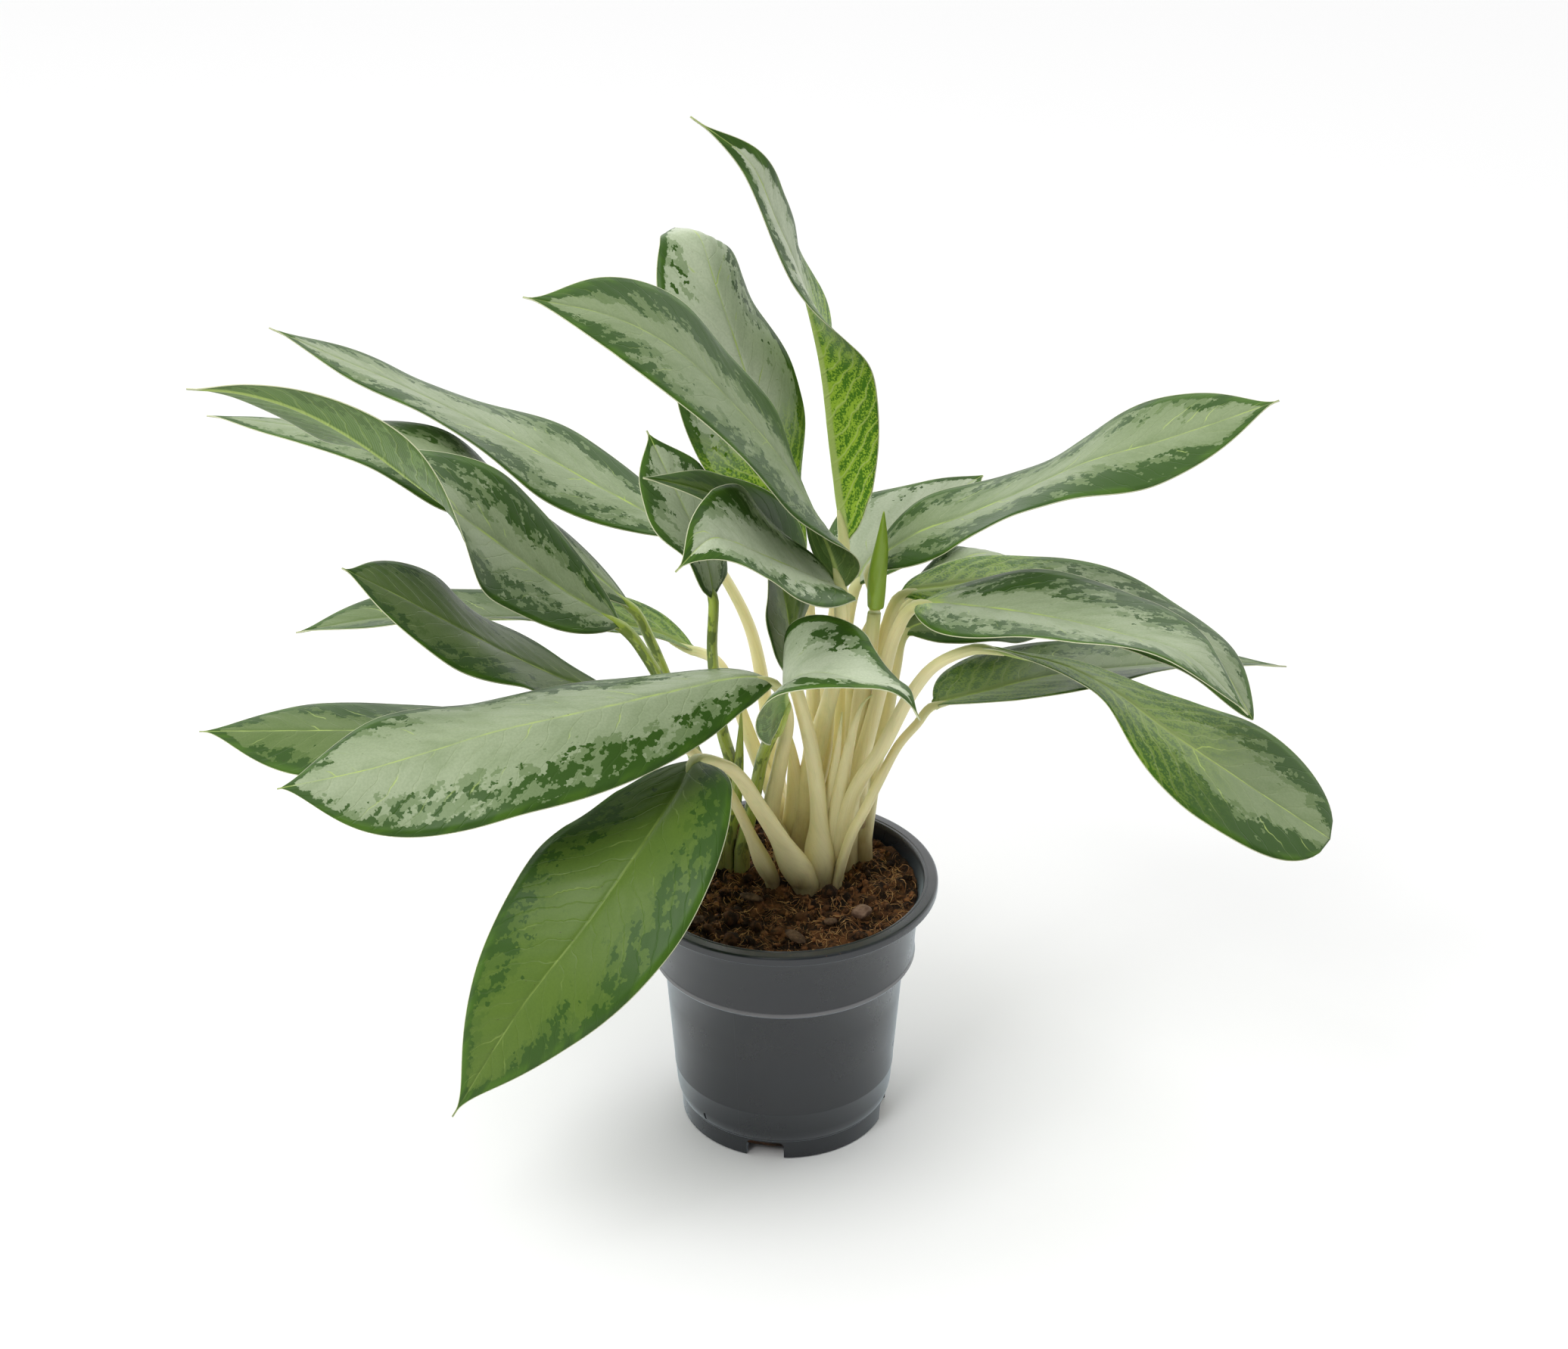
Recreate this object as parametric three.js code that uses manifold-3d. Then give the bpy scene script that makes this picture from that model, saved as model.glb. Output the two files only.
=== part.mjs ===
// A potted Chinese evergreen (Aglaonema): a round nursery pot full of coir and peat, and
// six shoots whose long stalks carry broad, drooping, silver-green blades.
//
// Millimetres, +Z up. The origin is the centre of the pot's underside, on the table.
// -Y is the front, +X the right. Every leaf is one path: it leaves its shoot, bends over
// as a stalk and runs on as the midrib of a blade.
import * as THREE from 'three';
import { mergeVertices } from 'three/addons/utils/BufferGeometryUtils.js';
import Module from 'manifold-3d';

const wasm = await Module();
wasm.setup();

// ---------------------------------------------------------------- driving dimensions

const CLEARANCE = 0.35;          // gap kept between pieces that touch

const POT = {
  height: 150,
  rimRadius: 85,                 // outside of the rolled rim
  rimInnerRadius: 77.5,          // inner edge of the rim's flat top
  rimDrop: 5.5,                  // how far the rim hangs outside the wall
  neckRadius: 78,                // outside of the wall just under the rim
  bandRadius: 72.6,              // outside of the upper band at its lower edge
  bandFlareHeight: 122,          // below this the band is nearly straight
  bandFlareRadius: 73.6,
  stepTop: 104,                  // lower edge of the upper band
  stepBottom: 101.5,
  bodyTopRadius: 67,             // outside of the body below the step
  bodyFootRadius: 60.5,          // outside of the body above the foot
  footTop: 13,
  footRadius: 58.4,
  footBottomRadius: 57.7,
  wall: 1.6,
  floorTop: 6,
  padRadius: 16,                 // flat pad in the middle of the underside
  recessRadius: 51,              // the underside is hollow from the pad out to here
  recessHeight: 3.6,
  sides: 48,
};

const NOTCHES = { count: 4, width: 21, height: 10.6, firstAzimuth: -10.6 };
const DRAINS = { count: 8, radius: 4.5, circle: 37, sides: 12 };

const SOIL = {
  top: 141.5,                    // mean height of the surface
  bump: 2.2,                     // height of its lumps
  rings: 6,
  sectors: 36,
};

const CHIPS = [                  // bark and one pale stone, lying on the soil
  { name: 'stone_pale', at: [42, -36], size: [6.6, 5.2, 4.6], turn: 20 },
  { name: 'bark_left', at: [-18, -19], size: [8.5, 3.6, 2.6], turn: -28 },
  { name: 'bark_front', at: [6, -57], size: [9.5, 4.2, 3.0], turn: -52 },
  { name: 'bark_small', at: [25, -43], size: [4.6, 3.4, 2.4], turn: 10 },
  { name: 'bark_far_left', at: [-47, -42], size: [5.8, 3.4, 2.6], turn: 35 },
];

// A shoot is a short cane that stands in the soil and carries its leaves' stalks.
const CANE_FOOT = 96;            // bottom of every cane, down in the soil
const SHOOTS = {
  front: { at: [15, 5], radius: 11, top: 160, colour: 'cream' },
  front_left: { at: [-7, 6], radius: 6, top: 159, colour: 'cream' },
  left: { at: [-32, 26], radius: 9.5, top: 168, colour: 'green' },
  middle: { at: [3, 31], radius: 9.5, top: 172, colour: 'cream' },
  right: { at: [37, 31], radius: 10.5, top: 170, colour: 'cream' },
  back: { at: [5, 53], radius: 9.5, top: 172, colour: 'cream' },
};

// Leaves. stalk: points of the stalk after its foot. rib: points of the midrib from the
// blade's base to its tip. face: where the upper side looks, at even steps from base to
// tip. width: the blade's full width. fold: how far each half rises from the flat at the
// midrib, and cup: how much more it turns by the margin, in degrees (right, left). shape:
// the powers of the outline's rise and fall. tipFold: the fold beyond a twist. point: the
// share of the length that is drawn out to a fine tip. thick: the stalk's half width at the
// blade and at the foot.
const LEAVES = [
  { name: 'front_left_broad', shoot: 'middle', foot: [-3, -2],
    stalk: [[-7, 20, 177], [-2, 6, 217], [2, -8, 255]],
    rib: [[-6, -24, 283], [-22, -34, 292], [-46, -44, 292], [-78, -62, 293], [-111, -80, 294],
      [-144, -94, 293], [-174, -104, 288], [-211, -114, 281], [-254, -122, 275]],
    face: [[0.7, 0.15, 0.7], [0.1, -0.15, 1.0], [0.1, -0.15, 1.0], [-0.05, -0.25, 0.95],
      [-0.05, -0.5, 0.85], [-0.05, -0.5, 0.85]],
    width: 100, fold: [-14, -12], cup: [-16, -12], shape: [0.75, 0.62], point: 0.09 },
  { name: 'front_hanging', shoot: 'front', foot: [-4, -5],
    stalk: [[-2, -11, 179], [-14, -20, 206], [-23, -28, 227], [-32, -36, 240]],
    rib: [[-47, -48, 249], [-57, -78, 245], [-76, -112, 230], [-102, -136, 201], [-134, -148, 161],
      [-172, -152, 96]],
    face: [[-0.15, 0.15, 1.0], [-0.3, -0.2, 0.95], [-0.25, -0.65, 0.75], [-0.35, -0.75, 0.5],
      [-0.35, -0.9, 0.25], [-0.35, -0.9, 0.25]],
    width: 96, fold: [6, 6], cup: [-12, -12], shape: [0.65, 1.1], point: 0.1,
    thick: [4.2, 8.6] },
  { name: 'left_twisted', shoot: 'left', foot: [-4, -3],
    stalk: [[-42, 22, 192], [-58, 20, 240], [-74, 15, 278]],
    rib: [[-88, 10, 300], [-118, 0, 327], [-151, -12, 361], [-183, -28, 397], [-211, -42, 428],
      [-238, -52, 450], [-265, -62, 464], [-291, -70, 470]],
    face: [[0.7, -0.2, 0.68], [0.74, -0.3, 0.6], [0.75, -0.3, 0.6], [0.7, 0.3, 0.6], [0.4, 0.7, 0.6],
      [0.1, 0.75, 0.65], [0.1, 0.7, 0.7]],
    width: 88, fold: [8, 8], cup: [-6, -6], point: 0.06 },
  { name: 'left_rear', shoot: 'left', foot: [-3, 4],
    stalk: [[-45, 36, 190], [-60, 46, 234], [-73, 52, 268]],
    rib: [[-84, 52, 290], [-113, 56, 317], [-141, 58, 342], [-173, 58, 368], [-212, 54, 387],
      [-258, 46, 399], [-303, 38, 409]],
    face: [[0.75, 0.0, 0.65], [0.65, 0.0, 0.75], [0.65, 0.1, 0.75], [0.5, -0.05, 0.85],
      [0.25, 0.1, 0.95], [0.2, 0.2, 0.95], [0.2, 0.2, 0.95]],
    width: 84, fold: [0, 0], cup: [-12, -12], shape: [0.75, 0.8], point: 0.08 },
  { name: 'upper_left_long', shoot: 'back', foot: [-4, 2],
    stalk: [[-3, 62, 170], [-10, 74, 217], [-19, 86, 259], [-38, 96, 294]],
    rib: [[-54, 104, 307], [-78, 110, 320], [-108, 114, 336], [-142, 117, 356], [-178, 118, 375],
      [-214, 116, 395], [-246, 112, 412], [-278, 106, 431]],
    face: [[0.5, -0.1, 0.85], [0.45, -0.1, 0.9], [0.5, -0.1, 0.85], [0.45, 0.1, 0.9],
      [0.45, 0.2, 0.85], [0.45, 0.1, 0.9], [0.5, 0.1, 0.85]],
    width: 88, fold: [4, 4], cup: [-10, -10], shape: [0.65, 0.9], point: 0.08 },
  { name: 'upper_front_broad', shoot: 'middle', foot: [4, -3],
    stalk: [[16, 20, 215], [26, 8, 262], [31, -2, 300]],
    rib: [[30, -8, 330], [25, -14, 356], [15, -20, 381], [-2, -32, 416], [-23, -44, 448],
      [-50, -58, 483], [-82, -70, 507], [-124, -84, 523]],
    face: [[0.3, 0.9, 0.2], [0.89, 0.3, 0.34], [0.86, -0.06, 0.51], [0.82, -0.07, 0.56],
      [0.71, -0.2, 0.67], [0.47, -0.27, 0.84], [0.35, -0.3, 0.85]],
    width: 88, fold: [6, 6], cup: [-10, -10], shape: [0.75, 0.75], point: 0.1 },
  { name: 'upper_rear_curled', shoot: 'back', foot: [2, -4],
    stalk: [[15, 44, 200], [16, 42, 249], [14, 42, 286]],
    rib: [[11, 42, 320], [4, 44, 344], [-4, 48, 373], [-14, 54, 404], [-25, 62, 439], [-36, 72, 469],
      [-45, 86, 491], [-58, 106, 488]],
    face: [[0.8, -0.55, 0.2], [0.8, -0.55, 0.3], [0.6, -0.75, 0.35], [0.65, -0.7, 0.35],
      [0.75, -0.5, 0.45], [0.6, -0.55, 0.55], [0.05, 0.25, 0.95]],
    width: 84, fold: [-8, -8], cup: [-18, -18], shape: [0.7, 0.66] },
  { name: 'top_twisted', shoot: 'back', foot: [5, -1],
    stalk: [[21, 50, 196], [25, 54, 252], [29, 60, 291]],
    rib: [[33, 74, 319], [30, 86, 340], [26, 95, 368], [21, 95, 410], [14, 88, 448], [6, 78, 478],
      [-4, 66, 507], [-18, 54, 543], [-47, 46, 569]],
    face: [[0.55, 0.83, -0.1], [0.6, 0.8, -0.05], [0.62, 0.78, 0.05], [0.68, 0.73, 0.1],
      [0.95, 0.3, 0.15], [1.0, -0.12, 0.22], [0.93, -0.37, 0.25], [0.7, -0.7, 0.2], [0.7, -0.7, 0.2]],
    width: 68, fold: [55, 6], cup: [0, 0], tipFold: [6, 6], shape: [0.64, 1.3], point: 0.06 },
  { name: 'upper_right_arching', shoot: 'right', foot: [-2, 2],
    stalk: [[38, 34, 210], [43, 30, 264], [49, 28, 302]],
    rib: [[46, 27, 325], [68, 22, 347], [94, 16, 361], [122, 8, 378], [156, -2, 400], [191, -10, 415],
      [224, -18, 431], [249, -24, 444]],
    face: [[-0.85, -0.1, 0.5], [-0.55, -0.15, 0.8], [-0.5, 0.1, 0.85], [-0.5, 0.2, 0.85],
      [-0.45, 0.1, 0.9], [-0.45, -0.2, 0.9], [-0.5, -0.3, 0.8], [-0.5, -0.3, 0.8]],
    width: 86, fold: [6, 6], cup: [-12, -12], shape: [0.7, 0.8], point: 0.08 },
  { name: 'rear_right_pale', shoot: 'back', foot: [5, 4],
    stalk: [[29, 58, 192], [32, 66, 236], [35, 74, 267]],
    rib: [[40, 86, 286], [49, 102, 296], [64, 122, 302], [84, 144, 307], [114, 166, 316]],
    face: [[-0.2, 0, 0.97], [0, 0, 1], [0, 0, 1]],
    width: 78, fold: [8, 8], cup: [-8, -8] },
  { name: 'right_front_broad', shoot: 'right', foot: [-2, -7],
    stalk: [[37, 19, 190], [44, 13, 224], [52, 9, 262], [59, 2, 298]],
    rib: [[71, -8, 321], [101, -36, 334], [136, -64, 342], [168, -92, 347], [199, -116, 347],
      [228, -134, 324]],
    face: [[-0.45, 0.25, 0.85], [-0.25, 0.05, 0.95], [-0.1, 0.1, 1.0], [0.05, 0.15, 1.0],
      [0.4, 0.1, 0.9], [0.6, -0.05, 0.8]],
    width: 90, fold: [10, 10], cup: [-10, -10], shape: [0.7, 0.8], point: 0.08,
    thick: [4.2, 7.8] },
  { name: 'right_hanging', shoot: 'front', foot: [13, 5],
    stalk: [[37, -1, 200], [53, -12, 238], [67, -22, 275], [81, -30, 298]],
    rib: [[103, -38, 311], [123, -46, 311], [146, -54, 308], [170, -64, 299], [195, -76, 284],
      [233, -92, 263], [279, -106, 236]],
    face: [[-0.1, 0.35, 0.95], [0.2, 0.2, 0.95], [0.45, 0.1, 0.9], [0.45, -0.2, 0.9],
      [0.35, -0.3, 0.9], [0.4, -0.3, 0.85], [0.4, -0.3, 0.85]],
    width: 88, fold: [6, 6], cup: [-12, -12], shape: [1.35, 0.5],
    thick: [4.0, 6.4] },
  { name: 'lower_right', shoot: 'front', foot: [14, -4],
    stalk: [[36, -6, 177], [44, -9, 197], [52, -9, 216], [61, -9, 236], [71, -8, 249]],
    rib: [[81, -4, 259], [108, 18, 255], [147, 44, 251], [196, 70, 243], [241, 92, 234],
      [287, 110, 222]],
    face: [[-0.05, 0.0, 1.0], [0.05, 0.1, 1.0], [0.05, 0.25, 0.95], [0.1, 0.25, 0.95],
      [0.15, 0.3, 0.95]],
    width: 78, fold: [12, 12], cup: [-6, -6], point: 0.08,
    thick: [2.8, 4.2] },
  { name: 'right_rear_broad', shoot: 'right', foot: [4, 1],
    stalk: [[44, 32, 206], [48, 31, 248], [54, 30, 282]],
    rib: [[63, 32, 306], [85, 38, 309], [112, 44, 309], [141, 46, 305], [166, 44, 300], [190, 36, 295],
      [213, 24, 288], [233, 6, 278], [250, -14, 255]],
    face: [[-0.4, -0.35, 0.85], [0.05, -0.25, 0.95], [0.15, -0.15, 0.95], [0.15, -0.2, 0.95],
      [0.25, -0.1, 0.95], [0.4, -0.3, 0.85], [0.55, -0.4, 0.75]],
    width: 70, fold: [-4, -4], cup: [-8, -8], shape: [0.7, 0.75] },
  { name: 'rear_right_arching', shoot: 'right', foot: [3, 5],
    stalk: [[43, 46, 206], [49, 53, 246], [57, 58, 276]],
    rib: [[70, 70, 286], [88, 84, 295], [107, 98, 299], [127, 114, 289], [151, 130, 267],
      [170, 146, 240]],
    face: [[0, -0.2, 0.98], [0, -0.1, 0.98], [0.3, 0, 0.9]],
    width: 38, fold: [6, -10], cup: [-12, -12] },
  { name: 'right_under', shoot: 'right', foot: [6, -2],
    stalk: [[50, 36, 200], [57, 44, 230], [61, 51, 252]],
    rib: [[66, 60, 269], [83, 66, 274], [105, 76, 271], [127, 86, 262], [149, 96, 250]],
    face: [[0, -0.2, 0.98], [0, -0.2, 0.98]],
    width: 52, fold: [6, 6], cup: [-10, -10] },
  { name: 'centre_rolled', shoot: 'left', foot: [8, -5],
    stalk: [[-17, 15, 190], [-12, 6, 220], [-6, -16, 248], [-3, -36, 262]],
    rib: [[0, -50, 281], [0, -62, 298], [6, -80, 316], [21, -102, 330], [43, -118, 332],
      [58, -128, 333], [67, -136, 322]],
    face: [[-1.0, 0.1, 0.15], [-1.0, 0.0, 0.2], [-0.65, 0.15, 0.75], [-0.1, 0.1, 1.0],
      [0.05, 0.35, 0.95], [0.75, -0.15, 0.65]],
    width: 76, fold: [24, 8], cup: [-40, -4], shape: [0.66, 1.15], point: 0.08,
    thick: [3.8, 6.6] },
  { name: 'centre_front_folded', shoot: 'middle', foot: [4, 3],
    stalk: [[16, 24, 205], [24, 12, 250], [29, -4, 288]],
    rib: [[28, -28, 338], [16, -44, 354], [2, -62, 370], [-13, -84, 388], [-26, -104, 404],
      [-37, -120, 412], [-52, -134, 402]],
    face: [[0.85, 0.35, 0.45], [0.7, 0.15, 0.75], [0.75, 0.05, 0.65], [0.8, -0.05, 0.55],
      [0.75, -0.15, 0.65], [0.25, -0.75, 0.6]],
    width: 80, fold: [10, 20], cup: [-6, -6], shape: [0.75, 1.0], point: 0.12 },
  { name: 'centre_arching', shoot: 'front', foot: [6, 3],
    stalk: [[20, 3, 182], [18, -1, 208], [14, -2, 236], [9, -2, 258]],
    rib: [[4, -4, 280], [3, -8, 305], [0, -10, 328], [-5, -14, 352], [-15, -20, 372], [-29, -30, 390],
      [-46, -42, 404], [-70, -56, 416]],
    face: [[1.0, 0.0, 0.1], [0.95, -0.35, 0.05], [0.95, -0.3, 0.1], [0.9, -0.15, 0.45],
      [0.75, 0.05, 0.7], [0.5, 0.05, 0.85], [0.45, 0.0, 0.9]],
    width: 72, fold: [8, 8], cup: [-6, -6], shape: [0.5, 1.1],
    thick: [4.6, 9.6] },
  { name: 'centre_left_upright', shoot: 'left', foot: [1, -4],
    stalk: [[-28, 17, 203], [-34, 8, 240], [-38, -3, 288]],
    rib: [[-37, -8, 326], [-42, 2, 347], [-52, 12, 367], [-62, 22, 385], [-72, 34, 402]],
    face: [[0.9, -0.4, 0.1], [0.85, -0.2, 0.45], [0.7, -0.4, 0.6], [0.5, -0.6, 0.65],
      [0.45, -0.55, 0.7]],
    width: 62, fold: [6, 6], cup: [-10, -10], point: 0.1,
    thick: [3.4, 5.6] },
  { name: 'lower_left', shoot: 'left', foot: [-5, -1],
    stalk: [[-44, 22, 203], [-58, 20, 227], [-72, 18, 244]],
    rib: [[-91, 16, 254], [-118, 10, 267], [-144, 2, 285], [-170, -9, 307], [-199, -20, 331],
      [-227, -32, 354]],
    face: [[0.45, 0.05, 0.9], [0.5, 0.05, 0.85], [0.6, 0.15, 0.8], [0.65, 0.0, 0.75],
      [0.65, -0.05, 0.75], [0.65, -0.05, 0.75]],
    width: 80, fold: [4, 4], cup: [-10, -10], shape: [0.8, 0.7], point: 0.1 },
  { name: 'left_flat', shoot: 'back', foot: [-5, -2],
    stalk: [[-15, 60, 191], [-30, 72, 230], [-39, 80, 242]],
    rib: [[-51, 88, 244], [-75, 92, 254], [-117, 96, 260], [-169, 98, 259], [-224, 96, 260],
      [-274, 90, 254]],
    face: [[0.4, 0.1, 0.9], [0.15, 0.1, 1.0], [0.0, 0.25, 0.95], [0.05, 0.25, 0.95], [-0.1, 0.1, 1.0],
      [-0.15, 0.1, 1.0]],
    width: 78, fold: [14, 14], cup: [-6, -6], shape: [0.7, 0.8], point: 0.08 },
  { name: 'far_left_low', shoot: 'front_left', foot: [1, -2],
    stalk: [[-12, -2, 161], [-20, -6, 184], [-30, -9, 208], [-42, -11, 227]],
    rib: [[-68, -12, 244], [-129, -2, 243], [-187, 8, 237], [-248, 16, 232], [-320, 24, 227]],
    face: [[0.15, 0.05, 1.0], [-0.05, 0.05, 1.0], [-0.1, 0.1, 1.0], [-0.1, 0.0, 1.0],
      [-0.1, -0.25, 0.95], [-0.1, -0.25, 0.95]],
    width: 84, fold: [-6, -6], cup: [-10, -10], shape: [0.75, 0.8], point: 0.1,
    thick: [3.4, 5.0] },
];

const STALK = { thick: [3.6, 7.2], swelling: 1.6, steps: 7, sides: 8, flatness: 0.74, gap: 0.8 };
// twistSpan: the shares of the length between which a twisted blade's fold changes. steepest:
// the angle, in radians, past which a steep half's wall is thickened no further.
const BLADE = { steps: 14, halfCells: 2, thickness: 0.8, baseHalfWidth: 3.4, tipHalfWidth: 0.5,
  ribDepth: 2.4, ribTipDepth: 0.4, shape: [0.7, 1.05], twistSpan: [0.36, 0.58], steepest: 1.1 };

// Free-standing sheath tips: the pointed ends of the sheaths that wrap the stalks.
const SHEATHS = [
  { shoot: 'front', path: [[21, 7, 152], [26, 3, 202], [29, -5, 232], [31, -9, 257]], radius: 3.4 },
  { shoot: 'front', path: [[24, 6, 152], [30, 1, 199], [35, -5, 233], [41, -9, 260], [47, -10, 268]],
    radius: 4.4 },
  { shoot: 'right', path: [[37, 36, 158], [38, 40, 205], [38, 36, 262], [50, 27, 305]], radius: 4.2 },
  { shoot: 'left', path: [[-30, 21, 160], [-26, 14, 196], [-24, 10, 226], [-23, 7, 250]], radius: 3.6 },
  { shoot: 'middle', path: [[3, 27, 160], [6, 24, 187], [5, 21, 212], [2, 22, 232]], radius: 5.2 },
];

const ROLLED_LEAF = {            // the newest leaf, still rolled into a spike
  shoot: 'right',
  stalk: [[38, 28, 166], [40, 22, 200], [42, 16, 249], [46, 10, 286], [48, 8, 308]],
  path: [[48.4, 7.8, 312], [49, 6, 331], [51, 4, 350], [52, 2, 370]],
  radius: 5.6,
};

const COLOURS = {
  pot: { color: 0x45484c, roughness: 0.42 },
  soil: { color: 0x3b2416, roughness: 0.98 },
  bark: { color: 0x6b4a2f, roughness: 0.95 },
  stone: { color: 0x9a8478, roughness: 0.9 },
  cream: { color: 0xd8d3ab, roughness: 0.55 },
  green: { color: 0x7d9a4a, roughness: 0.5 },
  blade: { color: 0x6f8f6a, roughness: 0.45 },
};

// ---------------------------------------------------------------- small helpers

function vec(values) {
  return new THREE.Vector3(...values);
}

function mix(list, share) {
  const place = share * (list.length - 1);
  const index = Math.min(Math.floor(place), list.length - 2);
  return vec(list[index]).lerp(vec(list[index + 1]), place - index);
}

function seededRandom(seed) {
  let state = seed;
  return () => {
    state = (state * 1664525 + 1013904223) % 4294967296;
    return state / 4294967296;
  };
}

function toSolid(geometry) {
  const bare = geometry.clone();
  bare.deleteAttribute('normal');
  bare.deleteAttribute('uv');
  const merged = mergeVertices(bare, 1e-4);
  return new wasm.Manifold(new wasm.Mesh({
    numProp: 3,
    vertProperties: new Float32Array(merged.attributes.position.array),
    triVerts: new Uint32Array(merged.index.array),
  }));
}

function toGeometry(solid) {
  const mesh = solid.getMesh();
  const geometry = new THREE.BufferGeometry();
  geometry.setAttribute('position', new THREE.BufferAttribute(mesh.vertProperties, 3));
  geometry.setIndex(new THREE.BufferAttribute(mesh.triVerts, 1));
  geometry.computeVertexNormals();
  return geometry;
}

function piece(name, geometry, look) {
  const material = new THREE.MeshStandardMaterial({ metalness: 0, side: THREE.DoubleSide, ...look });
  const mesh = new THREE.Mesh(geometry, material);
  mesh.name = name;
  return mesh;
}

// Closes a grid of rings (each a loop of the same number of points) with two end caps.
function closedSkin(rings) {
  const around = rings[0].length;
  const positions = rings.flat().flatMap((point) => [point.x, point.y, point.z]);
  const index = [];
  for (let ring = 0; ring < rings.length - 1; ring += 1) {
    for (let step = 0; step < around; step += 1) {
      const a = ring * around + step;
      const b = ring * around + ((step + 1) % around);
      index.push(a, b, a + around, b, b + around, a + around);
    }
  }
  const last = (rings.length - 1) * around;
  for (let step = 1; step < around - 1; step += 1) {
    index.push(0, step + 1, step);
    index.push(last, last + step, last + step + 1);
  }
  const geometry = new THREE.BufferGeometry();
  geometry.setAttribute('position', new THREE.Float32BufferAttribute(positions, 3));
  geometry.setIndex(index);
  geometry.computeVertexNormals();
  return geometry;
}

// ---------------------------------------------------------------- paths of the leaves

// Points at even distances along a smooth curve through the given points, from the
// control point `from` to the control point `to`.
function evenPoints(points, from, to, steps) {
  const curve = new THREE.CatmullRomCurve3(points.map(vec), false, 'catmullrom', 0.5);
  const fine = [];
  const perSpan = 24;
  for (let i = from * perSpan; i <= to * perSpan; i += 1) {
    fine.push(curve.getPoint(i / (perSpan * (points.length - 1))));
  }
  const lengths = [0];
  for (let i = 1; i < fine.length; i += 1) {
    lengths.push(lengths[i - 1] + fine[i].distanceTo(fine[i - 1]));
  }
  const total = lengths[lengths.length - 1];
  const result = [];
  let span = 0;
  for (let step = 0; step <= steps; step += 1) {
    const wanted = (total * step) / steps;
    while (span < lengths.length - 2 && lengths[span + 1] < wanted) span += 1;
    const share = (wanted - lengths[span]) / (lengths[span + 1] - lengths[span]);
    result.push(fine[span].clone().lerp(fine[span + 1], share));
  }
  return result;
}

function tangents(points) {
  return points.map((point, i) => {
    const before = points[Math.max(i - 1, 0)];
    const after = points[Math.min(i + 1, points.length - 1)];
    return after.clone().sub(before).normalize();
  });
}

function square(direction, tangent) {
  return direction.clone().addScaledVector(tangent, -direction.dot(tangent)).normalize();
}

function leafPath(leaf) {
  const shoot = SHOOTS[leaf.shoot];
  const foot = [shoot.at[0] + leaf.foot[0], shoot.at[1] + leaf.foot[1], shoot.top - 14];
  return [foot, ...leaf.stalk, ...leaf.rib];
}

// ---------------------------------------------------------------- blades

function halfWidth(leaf, share) {
  const [rise, fall] = leaf.shape ?? BLADE.shape;
  const peak = rise / (rise + fall);
  const drawn = (s) => (leaf.point ? Math.tanh((1 - s) / leaf.point) : 1);
  const outline = (s) => s ** rise * (1 - s) ** fall * drawn(s);
  const full = (leaf.width / 2) * (outline(share) / outline(peak));
  const least = THREE.MathUtils.lerp(BLADE.baseHalfWidth, BLADE.tipHalfWidth, share);
  return Math.max(full, least);
}

// How far a blade's half rises from the flat, in radians, at a share of the length. Side is
// +1 right and -1 left of the midrib; reach runs from 0 at the midrib to 1 at the margin.
function riseAngle(leaf, share, side, reach) {
  const half = side > 0 ? 0 : 1;
  const outer = (leaf.tipFold ?? leaf.fold)[half];
  const turned = THREE.MathUtils.smoothstep(share, ...BLADE.twistSpan);
  const fold = THREE.MathUtils.lerp(leaf.fold[half], outer, turned);
  return THREE.MathUtils.degToRad(fold + leaf.cup[half] * reach);
}

// The point of a blade's middle surface.
function acrossBlade(leaf, station, side, reach) {
  const slices = 4;
  let out = 0;
  let rise = 0;
  for (let slice = 0; slice < slices; slice += 1) {
    const angle = riseAngle(leaf, station.share, side, (reach * (slice + 0.5)) / slices);
    out += Math.cos(angle) / slices;
    rise += Math.sin(angle) / slices;
  }
  const width = halfWidth(leaf, station.share) * reach;
  return station.point.clone()
    .addScaledVector(station.side, side * out * width)
    .addScaledVector(station.normal, rise * width);
}

function bladeStations(leaf, steps) {
  const path = leafPath(leaf);
  const base = path.length - leaf.rib.length;
  const points = evenPoints(path, base, path.length - 1, steps);
  const along = tangents(points);
  return points.map((point, i) => {
    const share = i / steps;
    const normal = square(mix(leaf.face, share), along[i]);
    return { point, share, normal, along: along[i], side: along[i].clone().cross(normal) };
  });
}

function bladeGeometry(leaf) {
  const rings = bladeStations(leaf, BLADE.steps).map((station) => {
    const top = [];
    const bottom = [];
    const ribDepth = THREE.MathUtils.lerp(BLADE.ribDepth, BLADE.ribTipDepth, station.share ** 0.6);
    for (let cell = -BLADE.halfCells; cell <= BLADE.halfCells; cell += 1) {
      const side = cell < 0 ? -1 : 1;
      const reach = Math.abs(cell) / BLADE.halfCells;
      const middle = acrossBlade(leaf, station, side, reach);
      const steepest = Math.max(...[side, cell === 0 ? 1 : side].map((way) => (
        Math.abs(riseAngle(leaf, station.share, way, reach)))));
      const above = BLADE.thickness / 2 / Math.cos(Math.min(steepest, BLADE.steepest));
      const below = above + (cell === 0 ? ribDepth : 0);
      top.push(middle.clone().addScaledVector(station.normal, above));
      bottom.push(middle.clone().addScaledVector(station.normal, -below));
    }
    return [...top, ...bottom.reverse()];
  });
  return bladeSkin(rings);
}

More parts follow.
